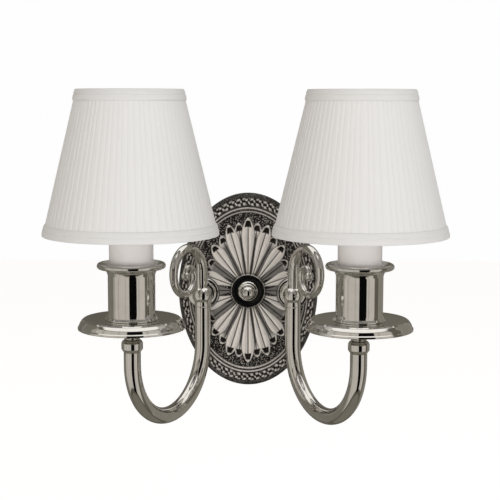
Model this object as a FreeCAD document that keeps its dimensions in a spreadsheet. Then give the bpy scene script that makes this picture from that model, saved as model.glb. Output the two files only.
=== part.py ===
import FreeCAD, Part

import math
import os

import Sketcher
from FreeCAD import Placement, Rotation, Vector

# Double arm wall sconce, in millimetres. The wall is the plane y = 0, the fixture stands out towards -Y,
# +Z is up, and the origin is the centre of the crossbar's back face, where the box screws hold it.

SIZES = {
    # overall layout
    "candle_side": 91.0,        # candle axis, left or right of the centre
    "candle_reach": 115.0,      # candle axis, out from the wall
    "ball_side": 39.5,          # ball knuckle, left or right of the centre
    "ball_reach": 23.5,         # ball knuckle, out from the wall
    "arm_height": -2.0,         # ball knuckle, up from the centre of the plate
    "arm_rise": 11.1,           # straight end of the arm, below the collar
    "collar_foot": -33.4,       # underside of the collar, up from the centre of the plate
    # back plate
    "plate_wide": 123.6,
    "plate_tall": 172.4,
    "plate_wall": 2.0,
    "rim_depth": 7.0,
    "border_depth": 7.6,
    "bead_depth": 9.4,
    "field_edge_depth": 8.0,
    "field_depth": 10.0,
    "seat_depth": 11.0,
    "petal_depth": 12.6,
    "petal_reach_side": 40.5,
    "petal_reach_up": 64.8,
    "petal_count": 14,
    # centre of the plate
    "boss_radius": 15.5,
    "boss_lip": 1.5,
    "boss_height": 3.0,
    "washer_radius": 13.7,
    "washer_thick": 1.2,
    "knob_foot_radius": 8.75,
    "knob_foot_height": 2.2,
    "knob_radius": 6.3,
    "knob_neck": 4.2,
    "rod_radius": 2.4,
    "rod_hole": 2.6,
    # crossbar behind the plate
    "bar_long": 118.0,
    "bar_wide": 20.0,
    "bar_thick": 2.4,
    "box_screw_spacing": 79.4,
    "slot_long": 26.0,
    "slot_radius": 2.3,
    "nut_flat": 9.5,
    "nut_thick": 3.2,
    "ground_side": 6.0,
    "ground_up": 16.0,
    # arm
    "disc_radius": 13.8,
    "disc_base": 2.0,
    "disc_step_radius": 10.8,
    "disc_step": 1.7,
    "disc_hub_radius": 6.6,
    "ball_radius": 8.9,
    "ball_top": 6.9,
    "ball_neck_radius": 7.4,
    "ball_neck_foot": 9.4,
    "nipple_radius": 4.8,
    "nipple_bore": 3.4,
    "thread_gap": 0.05,
    "arm_nut_flat": 15.0,
    "arm_nut_thick": 2.6,
    "tube_radius": 6.9,
    "tube_wall": 1.3,
    "lead_radius": 1.7,
    # scroll
    "scroll_side": 25.0,        # centre of the spiral, out from the ball along the arm
    "scroll_up": 20.7,          # centre of the spiral, above the ball
    "scroll_radius": 24.0,
    "scroll_end": 3.0,
    "scroll_root_radius": 5.2,
    "scroll_tip_radius": 2.3,
    "scroll_ball_radius": 3.9,
    # candle
    "collar_radius": 8.7,
    "collar_tall": 9.3,
    "neck_radius": 6.4,
    "dish_seat": -7.0,          # where the cup stands on the dish, up from the centre of the plate
    "dish_radius": 43.2,
    "ridge_radius": 39.6,
    "ridge_rise": 1.0,
    "dish_drop": 7.4,
    "dish_wall": 1.6,
    "cup_radius": 18.9,
    "cup_wall": 0.9,
    "cup_tall": 43.3,
    "cup_foot_radius": 21.6,
    "cup_foot": 5.0,
    "lip_radius": 2.4,
    "lip_reach": 25.1,
    "sleeve_gap": 0.35,
    "sleeve_wall": 1.0,
    "sleeve_tall": 86.0,
    "strap_thick": 1.4,
    "strap_wide": 14.0,
    "socket_foot": 40.0,        # underside of the socket, above the cup's floor
    "socket_radius": 15.2,
    "socket_tall": 44.0,
    "shell_wall": 0.4,
    "base_gap": 0.08,
    # bulb
    "base_radius": 13.1,
    "base_tall": 26.0,
    "bulb_radius": 17.5,
    "bulb_tall": 78.0,
    # shade
    "shade_tall": 113.0,        # hangs from its hanger, so its bottom edge moves with this
    "shade_low_radius": 69.6,
    "shade_top_radius": 42.3,
    "cover_thick": 0.8,
    "lining_thick": 0.5,
    "trim_thick": 1.0,
    "trim_tall": 8.0,
    "trim_leg": 4.0,
    "wire_radius": 1.1,
    "axle_rise": 7.8,           # shade's axle, above the tip of the bulb
    "hanger_drop": 16.0,        # shade's axle, below the top edge of the shade
    "axle_radius": 1.2,
    "axle_gap": 0.08,
    "stop_radius": 1.7,         # flange at each end of the axle, inside the sloping wires
    "clip_gap": 0.3,
    "clip_wire": 0.8,
}
SIDES = {"left": -1, "right": 1}

doc = FreeCAD.newDocument("Sconce")
sheet = doc.addObject("Spreadsheet::Sheet", "Sizes")
for row, (word, number) in enumerate(SIZES.items(), start=1):
    sheet.set(f"A{row}", word)
    sheet.set(f"B{row}", str(number))
    sheet.setAlias(f"B{row}", word)
doc.recompute()


class Size:
    """A length that knows its value and the sheet formula that gives it."""

    def __init__(self, value, formula):
        self.value = value
        self.formula = formula

    def __add__(self, other):
        other = as_size(other)
        return Size(self.value + other.value, f"({self.formula} + {other.formula})")

    def __sub__(self, other):
        other = as_size(other)
        return Size(self.value - other.value, f"({self.formula} - {other.formula})")

    def __mul__(self, other):
        other = as_size(other)
        return Size(self.value * other.value, f"({self.formula} * {other.formula})")

    def __truediv__(self, other):
        other = as_size(other)
        return Size(self.value / other.value, f"({self.formula} / {other.formula})")

    def __rsub__(self, other):
        return as_size(other) - self

    def __neg__(self):
        return as_size(0) - self

    __radd__ = __add__
    __rmul__ = __mul__


def as_size(number):
    """Any plain number as a Size."""
    return number if isinstance(number, Size) else Size(float(number), f"({number})")


def root(square):
    """Square root of a Size."""
    return Size(math.sqrt(square.value), f"sqrt({square.formula})")


def cap_radius(half, tall):
    """Radius of the ball whose cap is so wide and so tall."""
    half = as_size(half)
    tall = as_size(tall)
    return (half * half + tall * tall) / (tall * 2)


class Sheet:
    """The sheet's cells as attributes, each one a Size."""

    def __getattr__(self, word):
        return Size(float(SIZES[word]), f"Sizes.{word}")


s = Sheet()
sub_parts = []


def bind(thing, field, size):
    """Tie one property to the sheet."""
    thing.setExpression(field, as_size(size).formula)


def place(thing, across=0, out=0, up=0, turn=None):
    """Put a piece at a point of the sheet, turned first."""
    if turn is not None:
        thing.Placement = Placement(Vector(), turn)
    for axis, size in zip("xyz", (across, out, up)):
        size = as_size(size)
        setattr(thing.Placement.Base, axis, size.value)
        bind(thing, f"Placement.Base.{axis}", size)


def keep(thing, label):
    """Name a finished sub-part."""
    thing.Label = label
    sub_parts.append(thing)
    return thing


def origin_plane(body, role):
    """One of a body's own origin planes."""
    return next(item for item in body.Origin.OriginFeatures if item.Role == role)


def new_sketch(body, role, name):
    """An empty sketch on one of the body's origin planes."""
    sketch = body.newObject("Sketcher::SketchObject", name)
    sketch.AttachmentSupport = [(origin_plane(body, role), "")]
    sketch.MapMode = "FlatFace"
    return sketch


def dimension(sketch, kind, places, size):
    """Add one constraint and tie its value to the sheet."""
    size = as_size(size)
    number = sketch.addConstraint(Sketcher.Constraint(kind, *places, size.value))
    sketch.setExpression(f"Constraints[{number}]", size.formula)


def pin_point(sketch, edge, end, across, up):
    """Hold one end of an edge at a point that is measured from the sketch's origin."""
    for kind, axis, size in (("DistanceX", -2, across), ("DistanceY", -1, up)):
        if as_size(size).value == 0:
            sketch.addConstraint(Sketcher.Constraint("PointOnObject", edge, end, axis))
        else:
            dimension(sketch, kind, (-1, 1, edge, end), size)


def outline(sketch, corners):
    """Closed outline through corners (across, up) or (across, up, radius).

    A third number makes the edge that leaves the corner an arc, bulging right of its way for a positive
    radius and left for a negative one.
    """
    first = sketch.GeometryCount
    ends = []
    for number, corner in enumerate(corners):
        start = Vector(as_size(corner[0]).value, as_size(corner[1]).value, 0)
        after = corners[(number + 1) % len(corners)]
        stop = Vector(as_size(after[0]).value, as_size(after[1]).value, 0)
        if len(corner) == 2:
            sketch.addGeometry(Part.LineSegment(start, stop), False)
            ends.append((1, 2))
            continue
        radius = as_size(corner[2])
        chord = stop - start
        left = Vector(-chord.y, chord.x, 0).normalize()
        height = math.sqrt(max(radius.value ** 2 - chord.Length ** 2 / 4, 0))
        side = 1 if radius.value > 0 else -1
        middle = (start + stop) * 0.5 + left * (height * side)
        low, high = (start, stop) if side > 0 else (stop, start)
        angles = [math.atan2(p.y - middle.y, p.x - middle.x) for p in (low, high)]
        if angles[1] < angles[0]:
            angles[1] += 2 * math.pi
        circle = Part.Circle(middle, Vector(0, 0, 1), abs(radius.value))
        sketch.addGeometry(Part.ArcOfCircle(circle, *angles), False)
        ends.append((1, 2) if side > 0 else (2, 1))
    for number, corner in enumerate(corners):
        edge = first + number
        after = (number + 1) % len(corners)
        meeting = (edge, ends[number][1], first + after, ends[after][0])
        sketch.addConstraint(Sketcher.Constraint("Coincident", *meeting))
        pin_point(sketch, edge, ends[number][0], corner[0], corner[1])
        if len(corner) == 3:
            radius = as_size(corner[2])
            dimension(sketch, "Radius", (edge,), radius if radius.value > 0 else -radius)


def turned(label, corners, facing=False, **where):
    """A piece turned on a lathe: its half outline, radius then length, spun about its axis.

    The axis is +Z, or points out from the wall with facing=True.
    """
    body = doc.addObject("PartDesign::Body", label)
    sketch = new_sketch(body, "XZ_Plane", "HalfOutline")
    outline(sketch, corners)
    spin = body.newObject("PartDesign::Revolution", "Spin")
    spin.Profile = sketch
    spin.ReferenceAxis = (sketch, ["V_Axis"])
    spin.Angle = 360
    place(body, turn=Rotation(Vector(1, 0, 0), 90) if facing else None, **where)
    return keep(body, label)


def ring(inner, outer, low, high):
    """Half outline of a plain ring."""
    return [(inner, low), (outer, low), (outer, high), (inner, high)]


def padded(label, draw, thick, role="XY_Plane", **where):
    """A flat piece of even thickness, with its outline drawn by a function."""
    body = doc.addObject("PartDesign::Body", label)
    sketch = new_sketch(body, role, "Outline")
    draw(sketch)
    pad = body.newObject("PartDesign::Pad", "Pad")
    pad.Profile = sketch
    bind(pad, "Length", thick)
    place(body, **where)
    return body


def hexagon(sketch, flat, bore):
    """A hexagon across its flats, with a bore."""
    half = flat / 2
    corner = flat / math.sqrt(3)
    short = corner / 2
    outline(sketch, [(corner, 0), (short, half), (-short, half),
                     (-corner, 0), (-short, -half), (short, -half)])
    circle(sketch, 0, 0, bore)


def circle(sketch, across, up, radius):
    """A circle held at a point."""
    radius = as_size(radius)
    centre = Vector(as_size(across).value, as_size(up).value, 0)
    edge = sketch.addGeometry(Part.Circle(centre, Vector(0, 0, 1), radius.value), False)
    pin_point(sketch, edge, 3, across, up)
    dimension(sketch, "Radius", (edge,), radius)


def group(label, pieces):
    """Identical fasteners as one node of separate solids, in place of a node for each."""
    sub_parts[:] = [item for item in sub_parts if item not in pieces]
    compound = doc.addObject("Part::Compound", label)
    compound.Links = pieces
    return keep(compound, label)


# ---------------------------------------------------------------- back plate

# Shares of the plate's half width and half height, with the depth of the front face at each.
FRONT_STEPS = [
    (1.0, as_size(0)),
    (1.0, s.rim_depth - 2.4),
    (0.985, s.rim_depth - 0.6),
    (0.967, s.rim_depth),
    (0.952, s.rim_depth - 0.9),
    (0.94, s.rim_depth - 0.2),
    (0.865, s.border_depth),
    (0.85, s.bead_depth - 0.3),
    (0.83, s.bead_depth),
    (0.812, s.bead_depth - 0.6),
    (0.80, s.field_edge_depth),
    (0.55, s.field_depth - 0.7),
    (0.22, s.field_depth),
]
HOLLOW_STEPS = [
    (0.965, as_size(0)),
    (0.955, s.rim_depth - s.plate_wall - 1.2),
    (0.90, s.rim_depth - s.plate_wall - 0.4),
    (0.80, s.field_edge_depth - s.plate_wall),
    (0.22, s.field_depth - s.plate_wall),
]


def plate_loft(label, steps):
    """Ellipses of the plate's own proportion, each at its depth, joined by straight sides."""
    sections = []
    for share, depth in steps:
        section = doc.addObject("Part::Ellipse", label + "Section")
        bind(section, "MajorRadius", s.plate_tall * (share / 2))
        bind(section, "MinorRadius", s.plate_wide * (share / 2))
        place(section, out=-depth, turn=Rotation(Vector(0, 0, 1), Vector(1, 0, 0), Vector(0, 1, 0), "ZXY"))
        sections.append(section)
    loft = doc.addObject("Part::Loft", label)
    loft.Sections = sections
    loft.Solid = True
    loft.Ruled = True
    return loft


def rod(label, radius, back, front, across=0, up=0):
    """A plain cylinder that points out from the wall, between two depths."""
    cylinder = doc.addObject("Part::Cylinder", label)
    bind(cylinder, "Radius", radius)
    bind(cylinder, "Height", front - back)
    place(cylinder, across=across, out=-back, up=up, turn=Rotation(Vector(1, 0, 0), 90))
    return cylinder


def petal(angle, reach, width, foot, top):
    """One pointed petal with bevelled sides, along a direction of the plate's oval."""
    tip = Vector(s.petal_reach_side.value * reach * math.sin(angle), 0,
                 s.petal_reach_up.value * reach * math.cos(angle))
    along = Vector(tip).normalize()
    aside = Vector(along.z, 0, -along.x)
    root_point = along * (s.boss_radius.value + 0.4)
    outlines = []
    for depth, inset in ((foot, 0.0), (top, 1.4)):
        start = root_point + along * inset * 0.3
        stop = tip - along * inset * 2
        belly = start * 0.42 + stop * 0.58
        half = aside * (width - inset)
        sunk = Vector(0, -depth, 0)
        sides = [
            Part.Arc(start + sunk, belly + half + sunk, stop + sunk),
            Part.Arc(stop + sunk, belly - half + sunk, start + sunk),
        ]
        outlines.append(Part.Wire([side.toShape() for side in sides]))
    return Part.makeLoft(outlines, True, True)


def petal_half_width(angle, count):
    """Half the room that one petal has beside its neighbours, half way out."""
    step = 2 * math.pi / count
    side = s.petal_reach_side.value
    up = s.petal_reach_up.value
    gap = math.hypot(side * math.cos(angle), up * math.sin(angle)) * step
    return 0.29 * gap


def petals():
    """Two rings of petals, the second behind and between the first."""
    feature = doc.addObject("Part::Feature", "Petals")
    count = int(s.petal_count.value)
    foot = s.field_edge_depth.value - 0.6
    solids = []
    for number in range(count):
        for share, reach, top in ((0.0, 1.0, s.petal_depth.value), (0.5, 0.94, s.petal_depth.value - 1.5)):
            angle = (number + share) * 2 * math.pi / count
            solids.append(petal(angle, reach, petal_half_width(angle, count), foot, top))
    feature.Shape = solids[0].multiFuse(solids[1:])
    return feature


inner_seat = s.field_edge_depth - s.plate_wall - 0.6
seats = [rod("BossSeat", s.boss_radius + 0.3, s.field_depth - 1.5, s.seat_depth)]
clearances = [rod("BossClearance", s.boss_radius + 0.3, s.seat_depth, s.petal_depth + 2)]
bores = [rod("RodBore", s.rod_hole, as_size(0), s.seat_depth + 1)]
for side, sign in SIDES.items():
    at = {"across": s.ball_side * sign, "up": s.arm_height}
    seats.append(rod("DiscSeat", s.disc_radius + 0.3, s.field_edge_depth - 1, s.seat_depth, **at))
    seats.append(rod("NutSeat", s.arm_nut_flat * 0.64, inner_seat, s.field_edge_depth, **at))
    clearances.append(rod("DiscClearance", s.disc_radius + 0.3, s.seat_depth, s.petal_depth + 2, **at))
    bores.append(rod("NippleBore", s.nipple_radius + 0.2, as_size(0), s.seat_depth + 1, **at))
hollowed = doc.addObject("Part::Cut", "HollowPlate")
hollowed.Base = plate_loft("PlateFront", FRONT_STEPS)
hollowed.Tool = plate_loft("PlateHollow", HOLLOW_STEPS)
casting = doc.addObject("Part::MultiFuse", "Casting")
casting.Shapes = [hollowed, petals()] + seats
openings = doc.addObject("Part::Compound", "PlateOpenings")
openings.Links = clearances + bores
backplate = doc.addObject("Part::Cut", "Plate")
backplate.Base = casting
backplate.Tool = openings
keep(backplate, "backplate")

# ---------------------------------------------------------------- centre of the plate

bore = s.rod_hole
turned("boss_ring", [
    (bore, 0),
    (s.boss_radius, 0),
    (s.boss_radius, s.boss_height * 0.4, 2.2),
    (s.boss_radius - s.boss_lip * 0.5, s.boss_height),
    (s.boss_radius - s.boss_lip, s.boss_height),
    (s.washer_radius + 0.1, s.boss_height - 0.8),
    (s.washer_radius + 0.1, 1.0),
    (bore, 1.0),
], facing=True, out=-s.seat_depth)
turned("black_washer", ring(bore, s.washer_radius, 0, s.washer_thick), facing=True, out=-(s.seat_depth + 1))
knob_seat = s.seat_depth + 1 + s.washer_thick
knob_rise = root(s.knob_radius * s.knob_radius - s.knob_neck * s.knob_neck)
knob_tall = s.knob_foot_height + 1.2 + knob_rise + s.knob_radius
turned("centre_knob", [
    (bore, 0),
    (s.knob_foot_radius, 0),
    (s.knob_foot_radius, s.knob_foot_height * 0.5, 2.4),
    (s.knob_foot_radius - 2.4, s.knob_foot_height, -2.6),
    (s.knob_neck, s.knob_foot_height + 1.2, s.knob_radius),
    (0, knob_tall),
    (0, s.knob_foot_height + s.knob_radius),
    (bore, s.knob_foot_height + s.knob_radius),
], facing=True, out=-knob_seat)


def bar_outline(sketch):
    """Crossbar with a screw slot above and below its tapped middle hole."""
    half = s.bar_wide / 2
    low = -(s.bar_long / 2)
    high = s.bar_long / 2
    outline(sketch, [(-half, low + 3), (-half + 3, low), (half - 3, low), (half, low + 3),
                     (half, high - 3), (half - 3, high), (-half + 3, high), (-half, high - 3)])
    circle(sketch, 0, 0, s.rod_radius + s.thread_gap)
    circle(sketch, s.ground_side, s.ground_up - 24, 1.8)
    reach = s.slot_long / 2 - s.slot_radius
    for sign in (-1, 1):
        middle = s.box_screw_spacing * (sign / 2)
        round_end = s.slot_radius * 1.0001
        outline(sketch, [(s.slot_radius, middle - reach), (s.slot_radius, middle + reach, round_end),
                         (-s.slot_radius, middle + reach), (-s.slot_radius, middle - reach, round_end)])


rod_end = knob_seat + s.knob_foot_height + s.knob_radius - 1.5
keep(padded("crossbar", bar_outline, s.bar_thick, role="XZ_Plane"), "crossbar")
turned("centre_rod", [(0, 0), (s.rod_radius, 0), (s.rod_radius, rod_end), (0, rod_end)],
       facing=True)
turned("ground_screw", [
    (0, 0),
    (1.75, 0),
    (1.75, s.bar_thick),
    (3.6, s.bar_thick),
    (3.6, s.bar_thick + 1.0, cap_radius(3.6, 1.0)),
    (0, s.bar_thick + 2.0),
], facing=True, across=s.ground_side, up=s.ground_up - 24)


def nut(label, flat, thick, hole, facing=False, **where):
    """A hexagon nut."""
    body = padded(label, lambda sketch: hexagon(sketch, flat, hole), thick,
                  turn=Rotation(Vector(1, 0, 0), 90) if facing else None, **where)
    return body


keep(nut("rod_nut", s.nut_flat, s.nut_thick, s.rod_radius + s.thread_gap, True, out=-s.bar_thick), "rod_nut")

# ---------------------------------------------------------------- arms

arm_across = s.candle_side - s.ball_side
arm_out = s.candle_reach - s.ball_reach
arm_span = root(arm_across * arm_across + arm_out * arm_out)
arm_angle = math.degrees(math.atan2(arm_out.value, arm_across.value))
arm_bend = arm_span / 2
neck_seat = s.ball_neck_foot
arm_depth = s.arm_height - s.collar_foot + s.arm_rise + arm_bend
tube_drop = arm_depth - neck_seat - arm_bend
hub_front = s.ball_reach - root(s.ball_radius * s.ball_radius - 36)


def bent_path(points, bends):
    """Straight runs joined by tangent arcs: one radius for each inner point."""
    edges = []
    start = points[0]
    for before, corner, after, bend in zip(points, points[1:], points[2:], bends):
        back = (before - corner).normalize()
        on = (after - corner).normalize()
        half_turn = (math.pi - back.getAngle(on)) / 2
        reach = bend * math.tan(half_turn)
        enter = corner + back * reach
        leave = corner + on * reach
        middle = corner + (back + on).normalize() * (bend / math.cos(half_turn) - bend)
        if (enter - start).Length > 1e-6:
            edges.append(Part.LineSegment(start, enter).toShape())
        edges.append(Part.Arc(enter, middle, leave).toShape())
        start = leave
    if (points[-1] - start).Length > 1e-6:
        edges.append(Part.LineSegment(start, points[-1]).toShape())
    return Part.Wire(edges)


def wire_along(points, bends, radius):
    """A round wire bent along a path."""
    path = bent_path(points, bends)
    direction = (points[1] - points[0]).normalize()
    section = Part.Wire([Part.Circle(points[0], direction, radius).toShape()])
    return path.makePipeShell([section], True, True)


def arm_tube(label, turn, **where):
    """Hollow tube bent into a U in an upright plane, from under the ball to under the collar."""
    body = doc.addObject("PartDesign::Body", label)
    path = new_sketch(body, "XZ_Plane", "CentreLine")
    drop = tube_drop.value
    bend = arm_bend.value
    rise = s.arm_rise.value
    path.addGeometry(Part.LineSegment(Vector(0, 0, 0), Vector(0, -drop, 0)), False)
    whole = Part.Circle(Vector(bend, -drop, 0), Vector(0, 0, 1), bend)
    path.addGeometry(Part.ArcOfCircle(whole, math.pi, 2 * math.pi), False)
    path.addGeometry(Part.LineSegment(Vector(2 * bend, -drop, 0), Vector(2 * bend, rise - drop, 0)), False)
    path.addConstraint([
        Sketcher.Constraint("Coincident", 0, 1, -1, 1),
        Sketcher.Constraint("Vertical", 0),
        Sketcher.Constraint("Tangent", 0, 2, 1, 1),
        Sketcher.Constraint("Tangent", 1, 2, 2, 1),
        Sketcher.Constraint("Vertical", 2),
    ])
    dimension(path, "Distance", (0,), tube_drop)
    dimension(path, "Radius", (1,), arm_bend)
    dimension(path, "Distance", (2,), s.arm_rise)
    section = new_sketch(body, "XY_Plane", "Section")
    circle(section, 0, 0, s.tube_radius)
    circle(section, 0, 0, s.tube_radius - s.tube_wall)
    pipe = body.newObject("PartDesign::AdditivePipe", "Bend")
    pipe.Profile = section
    pipe.Spine = path
    place(body, turn=turn, **where)
    return keep(body, label)


def scroll(label, turn, **where):
    """Tapered rod that rises from the ball and curls out, over, down and in to a small ball.

    Round the centre of the spiral the radius falls as a power of the angle turned, slowly at first.
    """
    feature = doc.addObject("Part::Feature", label)
    centre = Vector(s.scroll_side.value, 0, s.scroll_up.value)
    turns = 2.7 * math.pi
    power = 1.65
    stations = 27
    places = [(Vector(centre.x - s.scroll_radius.value, 0, s.ball_top.value), Vector(0, 0, 1), 0.0)]
    for step in range(stations + 1):
        part = step / stations
        angle = turns * part
        radius = s.scroll_radius.value - (s.scroll_radius.value - s.scroll_end.value) * part ** power
        outward = Vector(-math.cos(angle), 0, math.sin(angle))
        forward = Vector(math.sin(angle), 0, math.cos(angle))
        shrink = (s.scroll_radius.value - s.scroll_end.value) * power * part ** (power - 1) / turns
        places.append((centre + outward * radius, (forward * radius - outward * shrink).normalize(), part))
    sections = []
    for point, direction, part in places:
        taper = s.scroll_root_radius.value - s.scroll_tip_radius.value
        thick = s.scroll_root_radius.value - taper * part ** 0.6
        sections.append(Part.Wire([Part.Circle(point, direction, thick).toShape()]))
    curl = Part.makeLoft(sections, True, False)
    bead = Part.makeSphere(s.scroll_ball_radius.value)
    bead.translate(places[-1][0] + places[-1][1] * s.scroll_ball_radius.value * 0.8)
    feature.Shape = curl.fuse(bead)
    place(feature, turn=turn, **where)
    return keep(feature, label)


def arm_ball(label, turn, **where):
    """Ball knuckle: flat on top for the scroll, a neck below for the tube, a bore behind for the nipple."""
    body = doc.addObject("PartDesign::Body", label)
    sketch = new_sketch(body, "XZ_Plane", "HalfOutline")
    squared = s.ball_radius * s.ball_radius
    flat = root(squared - s.ball_top * s.ball_top)
    neck = s.ball_neck_radius - 0.4
    inside = s.tube_radius - s.tube_wall
    outline(sketch, [
        (inside, -neck_seat),
        (s.ball_neck_radius, -neck_seat),
        (s.ball_neck_radius, -neck_seat + 1.6),
        (neck, -neck_seat + 2.0),
        (neck, -root(squared - neck * neck), s.ball_radius),
        (flat, s.ball_top),
        (0, s.ball_top),
        (0, 2),
        (inside, 2),
    ])
    spin = body.newObject("PartDesign::Revolution", "Spin")
    spin.Profile = sketch
    spin.ReferenceAxis = (sketch, ["V_Axis"])
    rear = new_sketch(body, "YZ_Plane", "Rear")
    outline(rear, [
        (0, 0),
        (s.ball_reach - hub_front, 0),
        (s.ball_radius + 1, 0),
        (s.ball_radius + 1, s.ball_radius + 1),
        (s.ball_reach - hub_front, s.ball_radius + 1),
        (s.ball_reach - hub_front, s.nipple_radius + s.thread_gap),
        (0, s.nipple_radius + s.thread_gap),
    ])
    groove = body.newObject("PartDesign::Groove", "NippleBore")
    groove.Profile = rear
    groove.ReferenceAxis = (rear, ["H_Axis"])
    place(body, **where)
    return keep(body, label)


arm_nuts = []
arm_nipples = []
nut_bore = s.nipple_radius + s.thread_gap
for side, sign in SIDES.items():
    at_plate = {"across": s.ball_side * sign, "up": s.arm_height}
    at_ball = dict(at_plate, out=-s.ball_reach)
    turn = Rotation(Vector(0, 0, 1), -arm_angle if sign > 0 else arm_angle - 180)
    nipple_end = s.ball_reach - 3
    arm_nipples.append(turned("arm_nipple_" + side, ring(s.nipple_bore, s.nipple_radius, 0, nipple_end - 1.2),
                              facing=True, **dict(at_plate, out=as_size(-1.2))))
    arm_nuts.append(nut("arm_nut_" + side, s.arm_nut_flat, s.arm_nut_thick, nut_bore, True,
                        **dict(at_plate, out=-(inner_seat - s.arm_nut_thick))))
    hub = hub_front - s.seat_depth
    hole = s.nipple_radius + 0.2
    turned("arm_disc_" + side, [
        (hole, 0),
        (s.disc_radius, 0),
        (s.disc_radius, s.disc_base * 0.5, 1.4),
        (s.disc_radius - 1.2, s.disc_base),
        (s.disc_step_radius, s.disc_base),
        (s.disc_step_radius, s.disc_base + s.disc_step * 0.4, 1.6),
        (s.disc_step_radius - 1.3, s.disc_base + s.disc_step, -3.4),
        (s.disc_hub_radius, hub),
        (hole, hub),
    ], facing=True, out=-s.seat_depth, **at_plate)
    arm_ball("arm_ball_" + side, turn, **at_ball)
    arm_tube("arm_tube_" + side, turn, **dict(at_ball, up=s.arm_height - neck_seat))
    scroll("scroll_" + side, turn, **at_ball)
group("arm_nipples", arm_nipples)
group("arm_nuts", arm_nuts)

# ---------------------------------------------------------------- candles

collar_top = s.collar_foot + s.collar_tall
neck_tall = s.dish_seat - s.dish_wall - collar_top
floor_thick = as_size(1.2)
cup_floor = s.dish_seat + floor_thick
sleeve_radius = s.cup_radius - s.cup_wall - s.sleeve_gap
socket_seat = cup_floor + s.socket_foot
shell_foot = socket_seat + 10
base_foot = shell_foot + 3
glass_foot = base_foot + s.base_tall
glass_neck = socket_seat + s.socket_tall - glass_foot + 0.6
shell_radius = s.base_radius + s.base_gap + s.shell_wall
hanger = glass_foot + s.bulb_tall + s.axle_rise
shade_top = hanger + s.hanger_drop
shade_foot = shade_top - s.shade_tall


def bracket_outline(sketch):
    """Stirrup between the cup's floor and the underside of the socket."""
    half = s.socket_radius - 3
    tall = s.socket_foot
    wall = s.strap_thick
    outline(sketch, [(-half, 0), (half, 0), (half, tall), (-half, tall)])
    outline(sketch, [(-half + wall, wall), (half - wall, wall), (half - wall, tall - wall),
                     (-half + wall, tall - wall)])


def socket_bracket(label, **where):
    """Steel stirrup with a hole for the nipple and one for the leads."""
    body = padded(label, bracket_outline, s.strap_wide, role="XZ_Plane", **where)
    body.Group[-1].Midplane = True
    drill = new_sketch(body, "XY_Plane", "Holes")
    circle(drill, 0, 0, s.nipple_radius + s.thread_gap)
    hole = body.newObject("PartDesign::Pocket", "Holes")
    hole.Profile = drill
    hole.Reversed = True
    hole.Type = 1
    return keep(body, label)


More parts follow.
